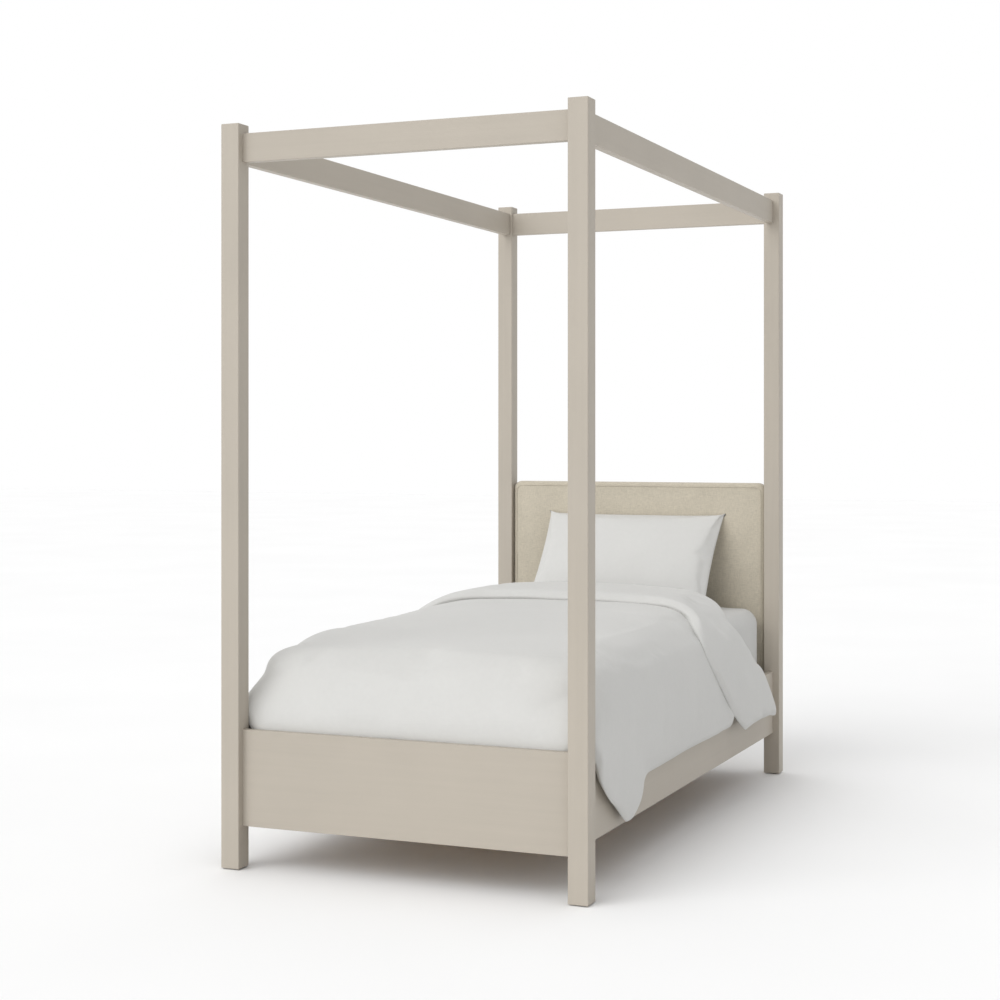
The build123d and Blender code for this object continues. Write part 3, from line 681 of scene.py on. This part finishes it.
def make_headboard_back(lining):
    """Dust cover over the back, with its turned edge."""
    half_x, half_z, centre_z = back_plan()
    x, z, _ = rounded_grid(half_x, half_z, BACK_CORNER, 60, 44)
    inner_edge = np.minimum(half_x - np.abs(x), half_z - np.abs(z))
    fold = 0.0006 * (1 - smooth_step(0.011, 0.014, inner_edge))
    points = np.stack([-x, BACK_LOW.y + 0.0004 + fold, z + centre_z], axis=2).reshape(-1, 3)
    slack = 0.0006 * smooth_step(0.01, 0.08, inner_edge).reshape(-1)
    points[:, 1] += slack * (0.5 + 0.5 * soft_noise(points, (0.09, 1.0, 0.16)))
    cover = new_object("headboard_dust_cover", points, grid_faces(*x.shape))
    thicken(cover, BACK_THICK)
    attach(cover, lining, "frame", "headboard_back_cover")


def make_staples(steel):
    """Row of staples round the dust cover's edge."""
    half_x, half_z, centre_z = back_plan()
    places = []
    for x in np.arange(-half_x + STAPLE_CORNER, half_x - STAPLE_CORNER + 0.001, STAPLE_PITCH):
        places += [(x, half_z - STAPLE_INSET, False), (x, -half_z + STAPLE_INSET, False)]
    for z in np.arange(-half_z + STAPLE_CORNER, half_z - STAPLE_CORNER + 0.001, STAPLE_PITCH):
        places += [(half_x - STAPLE_INSET, z, True), (-half_x + STAPLE_INSET, z, True)]
    half_long, height, half_wide = STAPLE_SIZE
    out = BACK_LOW.y + 0.0010
    verts = []
    faces = []
    for x, z, upright in places:
        base = len(verts)
        for a in (-half_long, half_long):
            for b in (0.0, height):
                for c in (-half_wide, half_wide):
                    verts.append((x + (c if upright else a), out + b, centre_z + z + (a if upright else c)))
        for quad in ((0, 1, 3, 2), (4, 6, 7, 5), (0, 4, 5, 1), (2, 3, 7, 6), (0, 2, 6, 4), (1, 5, 7, 3)):
            faces.append(tuple(base + q for q in quad))
    attach(new_object("headboard_staples", verts, faces, smooth=False), steel, "frame")


# ---- Mattress and fitted sheet ----
def mattress_skin(grow, low, high, corner, rounding, under, cols=46, rows=84):
    """Top, sides and turned-under edge of a mattress-shaped cover, as an open skin."""
    cx = (MATTRESS_LOW.x + MATTRESS_HIGH.x) / 2
    cy = (MATTRESS_LOW.y + MATTRESS_HIGH.y) / 2
    half_x = (MATTRESS_HIGH.x - MATTRESS_LOW.x) / 2 + grow
    half_y = (MATTRESS_HIGH.y - MATTRESS_LOW.y) / 2 + grow
    x, y, edge = rounded_grid(half_x, half_y, corner, cols, rows)
    drop = rounding - np.sqrt(np.maximum(rounding ** 2 - np.maximum(rounding - edge, 0) ** 2, 0))
    inner = np.minimum(half_x - np.abs(x), half_y - np.abs(y))
    sag = MATTRESS_CROWN * (1 - smooth_step(0.0, 0.16, inner))
    points = np.stack([x + cx, y + cy, high - drop - sag], axis=2).reshape(-1, 3)
    ring = border_indices(*x.shape)
    outline = points[ring]
    heights = np.linspace(high - rounding - MATTRESS_CROWN, low + 0.012, 15)
    loops = []
    for z in heights[1:]:
        loop = outline.copy()
        loop[:, 2] = z
        loops.append(loop)
    for inset, lift in ((0.006, 0.002), (0.02, 0.0), (0.05, 0.001), (under, 0.003)):
        loop = outline.copy()
        direction = np.array([cx, cy, 0]) - loop
        direction[:, 2] = 0
        loop += direction / np.abs(direction).max(axis=1, keepdims=True) * inset
        loop[:, 2] = low + lift
        loops.append(loop)
    for part in [points] + loops:
        part[:, 2] -= foot_sink(part[:, 1]) * np.clip((part[:, 2] - low) / (high - low), 0, 1)
    return points, ring, loops, x.shape, (cx, cy, half_x, half_y)


def make_mattress(ticking, tape):
    low, high = MATTRESS_LOW.z, MATTRESS_HIGH.z - 0.001
    points, ring, loops, shape, _ = mattress_skin(
        -BODY_INSET, low, high, MATTRESS_CORNER - BODY_INSET, SHEET_ROUND - BODY_INSET, BODY_UNDER)
    faces = grid_faces(*shape)
    last = bridge_loops(faces, ring, loops, len(points))
    faces.append(tuple(last))
    body = new_object("mattress_body", np.vstack([points] + loops), faces)
    attach(body, ticking, "mattress", "mattress")
    make_mattress_tapes(points[ring], low, high, tape)


def make_mattress_tapes(outline, low, high, tape):
    """Edge tapes round the mattress, under its sheet."""
    keep = [0]
    for k in range(1, len(outline)):
        if np.linalg.norm(outline[k, :2] - outline[keep[-1], :2]) > TAPE_SPACING:
            keep.append(k)
    for label, level in TAPE_LEVELS:
        line = outline[keep].copy()
        line[:, 2] = low + (high - low - foot_sink(line[:, 1])) * level
        edge_tape = tube(f"mattress_tape_{label}", line, TAPE_RADIUS)
        attach(edge_tape, tape, "mattress")


def crease_sheet(skin, plan, low, high):
    """Soft creases in the sheet's sides and top, and gathers at its elastic hem."""
    cx, cy, half_x, half_y = plan
    crease = 0.0012 * soft_noise(skin, (0.05, 0.05, 0.22)) + 0.0014 * soft_noise(skin, 0.13)
    side = skin[:, 2] < high - 0.02
    hem = np.exp(-np.maximum(skin[:, 2] - low, 0) / 0.05)
    crease[side] += 0.0016 * hem[side] * soft_noise(skin[side], (0.018, 0.018, 0.4))
    out_x = (skin[:, 0] - cx) / half_x
    out_y = (skin[:, 1] - cy) / half_y
    flat_top = ~side
    skin[flat_top, 2] += np.minimum(crease[flat_top], 0.0002)
    outward = np.stack([np.sign(out_x) * (np.abs(out_x) > 0.97),
                        np.sign(out_y) * (np.abs(out_y) > 0.97)], axis=1)
    skin[side, :2] += outward[side] * np.minimum(crease[side], 0.0)[:, None] * 0.8
    return skin


def make_sheet(cotton):
    """Fitted sheet pulled over the mattress and turned under it."""
    low, high = MATTRESS_LOW.z, SHEET_HIGH.z
    points, ring, loops, shape, plan = mattress_skin(
        SHEET_GROW, low, high, MATTRESS_CORNER, SHEET_ROUND, SHEET_UNDER, 74, 140)
    faces = grid_faces(*shape)
    bridge_loops(faces, ring, loops, len(points))
    skin = crease_sheet(np.vstack([points] + loops), plan, low, high)
    cover = new_object("fitted_sheet_cover", skin, faces)
    thicken(cover, SHEET_THICK)
    attach(cover, cotton, "mattress", "fitted_sheet")


# ---- Duvet ----
TOP_HALF = 0.021           # half its thickness on top
SIDE_HALF = 0.0105         # and where it hangs
FLAP_TOP_HALF = 0.0155     # the same, for the part that is folded back
FLAP_SIDE_HALF = 0.0088
FOOT_TOP_HALF = 0.0155     # the same, where it is tucked in
FOOT_SIDE_HALF = 0.0100
DUVET_LIE = 0.0020         # gap between the duvet and what it lies on
DUVET_CLEAR = 0.0012       # least gap between its surface and its neighbours
DUVET_X = RAIL_HIGH.x      # outer face of the side rail
COLS_HALF = 56
DUVET_SETTLE = 0.0090      # middle of the padding above the mattress edge at the foot


def duvet_section():
    """Middle line of the duvet across half the bed: (x, z) from the middle to the side hem."""
    top = SHEET_HIGH.z + DUVET_LIE + TOP_HALF
    side = DUVET_X + DUVET_LIE + SIDE_HALF
    points = [
        (0.0, top + 0.003), (0.13, top + 0.003), (0.26, top), (0.345, top - 0.0045),
        (0.405, top - 0.015), (0.452, top - 0.033), (0.486, top - 0.058), (0.5105, top - 0.091),
        (0.5250, top - 0.132), (0.5335, top - 0.180), (side - 0.002, top - 0.232),
        (side + 0.0005, top - 0.285), (side + 0.0020, top - 0.325), (side + 0.0020, top - 0.366),
    ]
    line = smooth_line(points, COLS_HALF)
    tangent = np.gradient(line, axis=0)
    tangent /= np.linalg.norm(tangent, axis=1, keepdims=True)
    return line, np.stack([-tangent[:, 1], tangent[:, 0]], axis=1)


# Where edges of the duvet run, as (x, z) on the section and y.
FOLD_EDGE = [(0.0, 0.63, 0.612), (0.20, 0.63, 0.605), (0.32, 0.63, 0.575), (0.40, 0.62, 0.520),
             (0.452, 0.60, 0.462), (0.49, 0.58, 0.440), (0.515, 0.545, 0.470), (0.530, 0.49, 0.545),
             (0.538, 0.43, 0.625), (0.542, 0.37, 0.705), (0.5435, 0.31, 0.795), (0.544, 0.264, 0.845)]
FLAP_EDGE = [(0.0, 0.63, 0.236), (0.20, 0.63, 0.232), (0.32, 0.63, 0.222), (0.40, 0.62, 0.196),
             (0.452, 0.60, 0.150), (0.49, 0.58, 0.105), (0.515, 0.545, 0.080), (0.530, 0.49, 0.098),
             (0.538, 0.43, 0.160), (0.542, 0.37, 0.240), (0.5435, 0.31, 0.345), (0.544, 0.264, 0.440)]
# How steeply the tucked part rises from its hem, as (x, z) on the section and metres.
FOOT_RISE = [(0.0, 0.63, 0.262), (0.30, 0.63, 0.255), (0.405, 0.61, 0.215), (0.452, 0.60, 0.205),
             (0.486, 0.58, 0.195), (0.515, 0.545, 0.170), (0.535, 0.45, 0.120), (0.544, 0.264, 0.100)]
# Foot hem from the middle to the drooping corner, (x, y, z).
FOOT_HEM_INNER = [(0.0, -0.9785, 0.350), (0.38, -0.9785, 0.350), (0.44, -0.9765, 0.352)]
FOOT_HEM_OUTER = [(0.452, -0.9755, 0.354), (0.474, -0.9735, 0.368), (0.494, -0.9715, 0.386),
                  (0.516, -0.9700, 0.402), (0.536, -0.9710, 0.394), (0.5430, -0.9480, 0.346),
                  (0.5450, -0.9270, 0.292), (0.5460, -0.8800, 0.246), (0.5470, -0.8160, 0.208),
                  (0.5470, -0.7450, 0.160)]
# The hanging hem, as (y, z): at the foot corner, and along the side.
CORNER_HEM = [(-0.745, 0.160), (-0.700, 0.159), (-0.655, 0.170), (-0.605, 0.192), (-0.572, 0.228),
              (-0.530, 0.248), (-0.480, 0.251)]
SIDE_HEM = [(-1.0, 0.250), (-0.42, 0.251), (-0.16, 0.257), (0.115, 0.258), (0.29, 0.264), (0.330, 0.272),
            (0.352, 0.300), (0.372, 0.345), (0.42, 0.385), (0.60, 0.345), (0.75, 0.275), (0.88, 0.240),
            (1.0, 0.240)]
# How much higher than the section the top lies, as (y, metres).
RISE = [(-1.0, -0.040), (-0.80, -0.032), (-0.60, -0.018), (-0.35, -0.004), (0.0, 0.006), (0.25, 0.010),
        (1.0, 0.010)]
FLAP_HEM_Z = 0.236
FOOT_ROWS = 30
MAIN_ROWS = 80
FLAP_ROWS = 26


def along_section(line, table):
    """Value at every column from (x, z, value) rows, matched to the nearest section point."""
    xs = np.array([int(np.argmin(np.hypot(line[:, 0] - x, line[:, 1] - z))) for x, z, _ in table], float)
    keep = np.concatenate([[True], np.diff(xs) > 0])
    return curve_at(list(zip(xs[keep], np.array([v for _, _, v in table])[keep])), np.arange(len(line)))


def bend_low(z, hem):
    """Stretch the lower part of a hanging section so that it ends at the hem."""
    knee = z[-1] + 0.19
    return np.where(z < knee, knee - (knee - z) * (knee - hem) / (knee - z[-1]), z)


def duvet_mid():
    """Middle points of the whole duvet from foot hem to flap hem, and half its thickness."""
    line, out = duvet_section()
    x, z = line[:, 0], line[:, 1]
    out3 = np.stack([out[:, 0], np.zeros(COLS_HALF), out[:, 1]], axis=1)
    side_share = smooth_step(0.44, 0.535, x)
    split = int(np.argmin(np.abs(x - FOOT_HEM_OUTER[0][0])))
    inner = np.array(FOOT_HEM_INNER)
    foot = np.zeros((COLS_HALF, 3))
    foot[:split, 0] = x[:split]
    foot[:split, 1] = np.interp(x[:split], inner[:, 0], inner[:, 1])
    foot[:split, 2] = np.interp(x[:split], inner[:, 0], inner[:, 2])
    foot[split:] = smooth_line(FOOT_HEM_OUTER, COLS_HALF - split)
    b = np.clip((np.arange(COLS_HALF) - split) / (COLS_HALF - 1 - split), 0, 1)
    fold_y = along_section(line, FOLD_EDGE)
    flap_y = along_section(line, FLAP_EDGE)

    def place(column_y):
        rise = curve_at(RISE, column_y) * (1 - side_share)
        return np.stack([x, column_y, bend_low(z, curve_at(SIDE_HEM, column_y)) + rise], axis=1)

    join_y = -0.640 + 0.160 * smooth_step(0, 0.5, b)
    join = place(join_y)
    turn = smooth_step(0.25, 0.95, b)
    up = np.stack([np.zeros(COLS_HALF), 0.80 * turn, 1 - 0.42 * turn], axis=1)
    up /= np.linalg.norm(up, axis=1, keepdims=True)
    rise = along_section(line, FOOT_RISE)
    reach = 0.215 - 0.02 * smooth_step(0.0, 0.3, b) - 0.05 * smooth_step(0.4, 1, b)
    p1 = foot + up * rise[:, None]
    p2 = join - np.array([0, 1, 0]) * reach[:, None]
    corner = smooth_line(CORNER_HEM, FOOT_ROWS)
    to_corner = smooth_step(0.72, 1.0, b)
    rows = []
    for i, s in enumerate(np.linspace(0, 1, FOOT_ROWS)):
        row = (1 - s) ** 3 * foot + 3 * s * (1 - s) ** 2 * p1 + 3 * s * s * (1 - s) * p2 + s ** 3 * join
        shift = corner[i] - row[-1, 1:]
        row[:, 1:] += to_corner[:, None] * shift
        rows.append(row)
    for s in np.linspace(0, 1, MAIN_ROWS)[1:]:
        rows.append(place(join_y + (fold_y - join_y) * s))
    last = rows[-1]
    gap = ((TOP_HALF + FLAP_TOP_HALF + 0.004) * (1 - side_share)
           + (SIDE_HALF + FLAP_SIDE_HALF + 0.0015) * side_share)
    for angle in np.linspace(0, math.pi, 9)[1:-1]:
        rows.append(last + out3 * (gap * 0.5 * (1 - math.cos(angle)))[:, None]
                    + np.array([0, 1, 0]) * (gap * 0.55 * math.sin(angle))[:, None])
    for s in np.linspace(0, 1, FLAP_ROWS):
        column_y = fold_y + (flap_y - fold_y) * s
        lift = curve_at(RISE, column_y) * (1 - side_share)
        base = np.stack([x, column_y, bend_low(z, FLAP_HEM_Z) + lift], axis=1)
        rows.append(base + out3 * gap[:, None])
    half_mid = np.array(rows)

    count = np.arange(len(half_mid))
    thick = TOP_HALF * (1 - side_share) + SIDE_HALF * side_share
    half = np.repeat(thick[None, :], len(half_mid), axis=0)
    half[FOOT_ROWS + MAIN_ROWS - 1:] = FLAP_TOP_HALF * (1 - side_share) + FLAP_SIDE_HALF * side_share
    foot_share = (1 - smooth_step(0, FOOT_ROWS - 4, count))[:, None]
    foot_half = FOOT_TOP_HALF * (1 - side_share) + FOOT_SIDE_HALF * side_share
    half = half * (1 - foot_share) + foot_half * foot_share
    mirrored = half_mid[:, ::-1].copy()
    mirrored[..., 0] *= -1
    mid = np.concatenate([mirrored[:, :-1], half_mid], axis=1)
    half = np.concatenate([half[:, ::-1][:, :-1], half], axis=1)
    return mid, half


def hem_taper(mid, half, width=0.024, edge=0.0020):
    """Thin the padding towards every free edge, as a sewn edge does."""
    near = np.inf * np.ones(mid.shape[:2])
    for axis in (0, 1):
        step = np.linalg.norm(np.diff(mid, axis=axis), axis=2)
        run = np.cumsum(step, axis=axis)
        run = np.insert(run, 0, 0.0, axis=axis)
        total = np.take(run, [-1], axis=axis)
        near = np.minimum(near, np.minimum(run, total - run))
    u = np.clip(near / width, 0, 1)
    return edge + (half - edge) * np.sqrt(np.maximum(1 - (1 - u) ** 2, 0))


# Creases pressed into the top layer: two ends, depth and width in metres.
CREASES = [
    ((0.27, -0.93, 0.57), (0.44, -0.86, 0.60), 0.0050, 0.014),
    ((0.30, -0.86, 0.62), (0.47, -0.78, 0.60), 0.0045, 0.013),
    ((0.36, -0.965, 0.47), (0.46, -0.93, 0.52), 0.0045, 0.012),
    ((0.40, -0.70, 0.64), (0.50, -0.66, 0.58), 0.0035, 0.012),
    ((-0.46, -0.93, 0.52), (-0.28, -0.90, 0.60), 0.0045, 0.015),
    ((-0.20, -0.80, 0.645), (-0.42, -0.72, 0.625), 0.0030, 0.016),
    ((0.05, -0.60, 0.65), (0.38, -0.42, 0.64), 0.0032, 0.018),
    ((-0.32, -0.20, 0.65), (0.06, -0.34, 0.655), 0.0026, 0.020),
    ((0.10, 0.06, 0.655), (0.42, -0.02, 0.635), 0.0030, 0.016),
    ((0.545, -0.62, 0.52), (0.556, -0.70, 0.26), 0.0045, 0.016),
    ((0.545, -0.36, 0.50), (0.556, -0.44, 0.30), 0.0035, 0.018),
    ((0.545, -0.05, 0.50), (0.556, -0.10, 0.32), 0.0030, 0.018),
    ((0.20, 0.48, 0.69), (0.40, 0.36, 0.67), 0.0030, 0.014),
    ((-0.15, 0.50, 0.69), (0.08, 0.38, 0.69), 0.0026, 0.016),
    ((0.560, 0.36, 0.45), (0.570, 0.62, 0.32), 0.0030, 0.014),
]


def press_creases(points, normals):
    """Move points along their normals into each crease, with a low ridge on either side."""
    depth = np.zeros(len(points))
    for a, b, amount, width in CREASES:
        a, b = np.array(a), np.array(b)
        t = np.clip((points - a) @ (b - a) / ((b - a) @ (b - a)), 0, 1)
        distance = np.linalg.norm(points - a - t[:, None] * (b - a), axis=1)
        fade = np.sin(math.pi * np.clip(t, 0.02, 0.98)) ** 0.7
        width *= 1.5
        depth += 0.7 * amount * fade * (np.exp(-(distance / width) ** 2)
                                        - 0.4 * np.exp(-(distance / (2 * width)) ** 2))
    return points - normals * depth[:, None]


def make_duvet(cotton):
    """Quilt with soft folds, filled out by the cloth simulation."""
    mid, half = duvet_mid()
    mid = settle_on_mattress(mid)
    near_foot = np.exp(-((mid[..., 1] + 0.88) / 0.11) ** 2) * smooth_step(0.34, 0.46, np.abs(mid[..., 0]))
    half = hem_taper(mid, half * (1 - 0.4 * near_foot * smooth_step(0.42, 0.52, mid[..., 2])))
    flat = mid.reshape(-1, 3)
    n = normals_of(mid).reshape(-1, 3)
    side = smooth_step(0.46, 0.54, np.abs(flat[:, 0]))
    low_side = side * smooth_step(0.60, 0.36, flat[:, 2])
    swell = 0.0050 * soft_noise(flat, (0.34, 0.42, 0.5)) + 0.0026 * soft_noise(flat + 7.3, (0.13, 0.17, 0.3))
    folds = 0.0040 * soft_noise(flat, (1.0, 0.115, 0.6)) * low_side
    moved = press_creases(flat + n * (swell * (1 - 0.5 * side) + folds)[:, None], n)
    mid = moved.reshape(mid.shape)
    duvet = shell("duvet_puffy", mid, half)
    puff(duvet, pressure=1.2, frames=14, cap=0.010, shrink=-0.012)
    set_points(duvet, keep_duvet_clear(get_points(duvet)))
    subdivide(duvet)
    set_points(duvet, keep_duvet_clear(get_points(duvet)))
    attach(duvet, cotton, "duvet", "duvet")


def settle_on_mattress(mid):
    """Lay the duvet's middle over the mattress edge at the foot, smoothly."""
    last = FOOT_ROWS + 24
    fade = (1 - smooth_step(FOOT_ROWS + 4, last, np.arange(last)))[:, None, None]
    for _ in range(14):
        shape = mid.shape
        mid = push_off_mattress(mid.reshape(-1, 3), DUVET_SETTLE).reshape(shape)
        part = mid[:last]
        around = part.copy()
        around[1:-1, 1:-1] = (part[:-2, 1:-1] + part[2:, 1:-1] + part[1:-1, :-2] + part[1:-1, 2:]) / 4
        top = smooth_step(0.40, 0.50, part[..., 2:])
        mid[:last] = part + (around - part) * 0.8 * fade * top
    return mid


def keep_duvet_clear(points):
    """Keep the duvet's surface out of the mattress, side rails, foot posts and footboard."""
    gap = DUVET_CLEAR
    points = push_off_mattress(points, gap)
    for sign in (-1, 1):
        side = np.sign(points[:, 0]) == sign
        beside = side & (points[:, 2] < RAIL_HIGH.z + gap) & (np.abs(points[:, 0]) > RAIL_LOW.x - 0.004)
        points[beside, 0] = sign * np.maximum(np.abs(points[beside, 0]), RAIL_HIGH.x + gap)
    near_post = np.abs(points[:, 0]) > FOOT_POST_LOW.x - gap
    points[near_post, 1] = np.clip(points[near_post, 1], FOOT_POST_HIGH.y + gap, HEAD_POST_LOW.y - gap)
    points[:, 1] = np.maximum(points[:, 1], PANEL_HIGH.y + gap)
    return points


# ---- Pillow ----
PILLOW_CUT = (0.70, 0.46)
PILLOW_PLUMP = 0.068       # half its thickness in the middle
PILLOW_THICK = 0.150       # most it may measure through, once filled
PILLOW_TALL = 0.452        # seam to seam, once filled
PILLOW_SPREAD = 0.010      # wider than its CAD solid
PILLOW_PRESS = 0.012       # its top edge is pressed this far into the headboard
PILLOW_SINK = 0.018        # its lower edge is pressed this far into the mattress
PILLOW_CLEAR = 0.0012
HEAD_CLEAR = 0.0066        # in front of the headboard's CAD face, clear of its crown
LEAN = math.radians(52)


def make_pillow(cotton):
    """Two panels sewn round the edge and filled, then leaned on the headboard."""
    cols, rows = 78, 58
    x, y = np.meshgrid(np.sin(np.linspace(-1.45, 1.45, cols)), np.sin(np.linspace(-1.45, 1.45, rows)))
    x = x / x.max() * 0.5
    y = y / y.max() * 0.5
    bow_x = 1 - 0.034 * (1 - (2 * y) ** 2)
    bow_y = 1 - 0.045 * (1 - (2 * x) ** 4)
    fullness = ((1 - np.abs(2 * x) ** 2.6) * (1 - np.abs(2 * y) ** 2.4)).clip(0) ** 0.62
    plump = PILLOW_PLUMP * fullness + 0.0012
    top = np.stack([x * PILLOW_CUT[0] * bow_x, y * PILLOW_CUT[1] * bow_y, plump], axis=2)
    flat = top.reshape(-1, 3)
    seam = np.minimum(0.5 - np.abs(x), 0.5 - np.abs(y)).reshape(-1)
    pucker = 0.0035 * np.exp(-seam / 0.05) * soft_noise(flat * [1, 1, 0], (0.020, 0.020, 1.0))
    soft = 0.0045 * soft_noise(flat * [1, 1, 0] + 3.1, (0.11, 0.13, 1.0))
    count = rows * cols
    upper = flat.copy()
    upper[:, 2] += (pucker + soft) * smooth_step(0.0, 0.04, seam)
    lower = flat * [1, 1, -1]
    lower[:, 2] += (pucker - soft) * smooth_step(0.0, 0.04, seam)
    index_lower = np.arange(count) + count
    ring = border_indices(rows, cols)
    index_lower[ring] = ring
    faces = grid_faces(rows, cols)
    for quad in grid_faces(rows, cols, flip=True):
        faces.append(tuple(int(index_lower[q]) for q in quad))
    verts = np.vstack([upper, lower])
    verts[ring, 2] = 0.0
    used = sorted({q for f in faces for q in f})
    renumber = {old: new for new, old in enumerate(used)}
    faces = [tuple(renumber[q] for q in f) for f in faces]
    pillow = new_object("pillow_plump", verts[used], faces)
    puff(pillow, pressure=3.0, frames=16, cap=0.012, shrink=-0.03, tension=14.0, bending=0.08)
    p = get_points(pillow)
    size = p.max(0) - p.min(0)
    wide = PILLOW_HIGH.x - PILLOW_LOW.x + PILLOW_SPREAD
    want = np.array([wide, PILLOW_TALL, min(size[2], PILLOW_THICK)])
    p = (p - (p.max(0) + p.min(0)) / 2) * want / size
    tall = p[:, 1] / want[1] + 0.5
    p[:, 2] *= 1.14 - 0.30 * tall
    uy = np.array([0, math.cos(LEAN), math.sin(LEAN)])
    uz = np.array([0, -math.sin(LEAN), math.cos(LEAN)])
    world = p[:, :1] * np.array([1.0, 0, 0]) + p[:, 1:2] * uy + p[:, 2:] * uz
    back_wall = HEAD_LOW.y - HEAD_CLEAR
    floor = SHEET_HIGH.z + PILLOW_CLEAR
    world[:, 0] += (PILLOW_LOW.x + PILLOW_HIGH.x) / 2
    world[:, 1] += back_wall + PILLOW_PRESS - world[:, 1].max()
    world[:, 2] += floor - PILLOW_SINK - world[:, 2].min()

    def keep_clear(points):
        points[:, 1] = np.minimum(points[:, 1], back_wall)
        points[:, 2] = np.maximum(points[:, 2], floor)
        return points

    set_points(pillow, keep_clear(world))
    subdivide(pillow)
    set_points(pillow, keep_clear(get_points(pillow)))
    attach(pillow, cotton, "pillow", "pillow")


# ---- Studio ----
FLOOR_HALF = 30.0
BACKDROP_SIDE = (-0.386, 0.922, 0.0)    # the backdrop behind the bed is brighter than the rest
BACKDROP_FADE = (("From Min", 0.45), ("From Max", 0.88), ("To Min", 0.59), ("To Max", 1.0))
LIGHTS = (    # name, direction, angle in degrees, strength
    ("key", (0.38, 0.80, -0.52), 55, 1.45),
    ("top", (0.05, 0.10, -1.0), 80, 0.6),
)
CAMERA_PLACE = (2.1676, -5.4898, 1.2224)
CAMERA_TURN = 22.73        # degrees round from looking along +Y
CAMERA_LENS = 65.49        # millimetres, on a sensor of SENSOR
SENSOR = 36.0
CAMERA_SHIFT = -0.0626


def make_floor():
    h = FLOOR_HALF
    floor = new_object("floor", [(-h, -h, 0), (h, -h, 0), (h, h, 0), (-h, h, 0)], [(0, 1, 2, 3)])
    m = Nodes("studio_floor")
    cloud = m.noise(m.coords(), 0.8, detail=2.0)
    tint = m.ramp(cloud, [(0.3, (0.93, 0.93, 0.93)), (0.7, (0.95, 0.95, 0.95))])
    floor.data.materials.append(m.finish(tint, m.range(cloud, 0.85, 0.95), Specular_IOR_Level=0.1))


def make_backdrop():
    """White surroundings, brightest behind the bed."""
    world = bpy.data.worlds.new("studio")
    bpy.context.scene.world = world
    world.use_nodes = True
    nodes, links = world.node_tree.nodes, world.node_tree.links
    background = nodes["Background"]
    background.inputs["Color"].default_value = (1.0, 1.0, 1.0, 1.0)
    place = nodes.new("ShaderNodeTexCoord").outputs["Generated"]
    towards = nodes.new("ShaderNodeVectorMath")
    towards.operation = "DOT_PRODUCT"
    towards.inputs[1].default_value = BACKDROP_SIDE
    links.new(place, towards.inputs[0])
    brightness = nodes.new("ShaderNodeMapRange")
    for key, value in BACKDROP_FADE:
        brightness.inputs[key].default_value = value
    links.new(towards.outputs["Value"], brightness.inputs["Value"])
    links.new(brightness.outputs["Result"], background.inputs["Strength"])


def make_lights():
    for name, direction, angle, strength in LIGHTS:
        light = bpy.data.lights.new(name, "SUN")
        light.angle = math.radians(angle)
        light.energy = strength
        lamp = bpy.data.objects.new(name, light)
        lamp.rotation_euler = Vector(direction).to_track_quat("-Z", "Y").to_euler()
        bpy.context.scene.collection.objects.link(lamp)


def make_camera():
    lens = bpy.data.cameras.new("camera")
    lens.lens = CAMERA_LENS
    lens.sensor_width = SENSOR
    lens.shift_y = CAMERA_SHIFT
    camera = bpy.data.objects.new("camera", lens)
    camera.location = CAMERA_PLACE
    camera.rotation_euler = (math.radians(90), 0, math.radians(CAMERA_TURN))
    bpy.context.scene.collection.objects.link(camera)
    bpy.context.scene.camera = camera
    bpy.context.scene.view_settings.view_transform = "Standard"


make_floor()
make_backdrop()
make_lights()
make_camera()
dress_frame()
linen = linen_material("headboard_linen")
make_headboard_cover(linen)
make_headboard_welt(linen)
make_headboard_back(lining_material("dust_cover_felt", (0.30, 0.28, 0.25)))
make_staples(bpy.data.materials["zinc_steel"])
tape = cotton_material("mattress_tape_cotton", (0.62, 0.61, 0.58))
make_mattress(ticking_material("mattress_knit"), tape)
make_sheet(cotton_material("sheet_cotton", (0.600, 0.597, 0.582)))
make_duvet(cotton_material("duvet_percale"))
make_pillow(cotton_material("pillow_percale"))
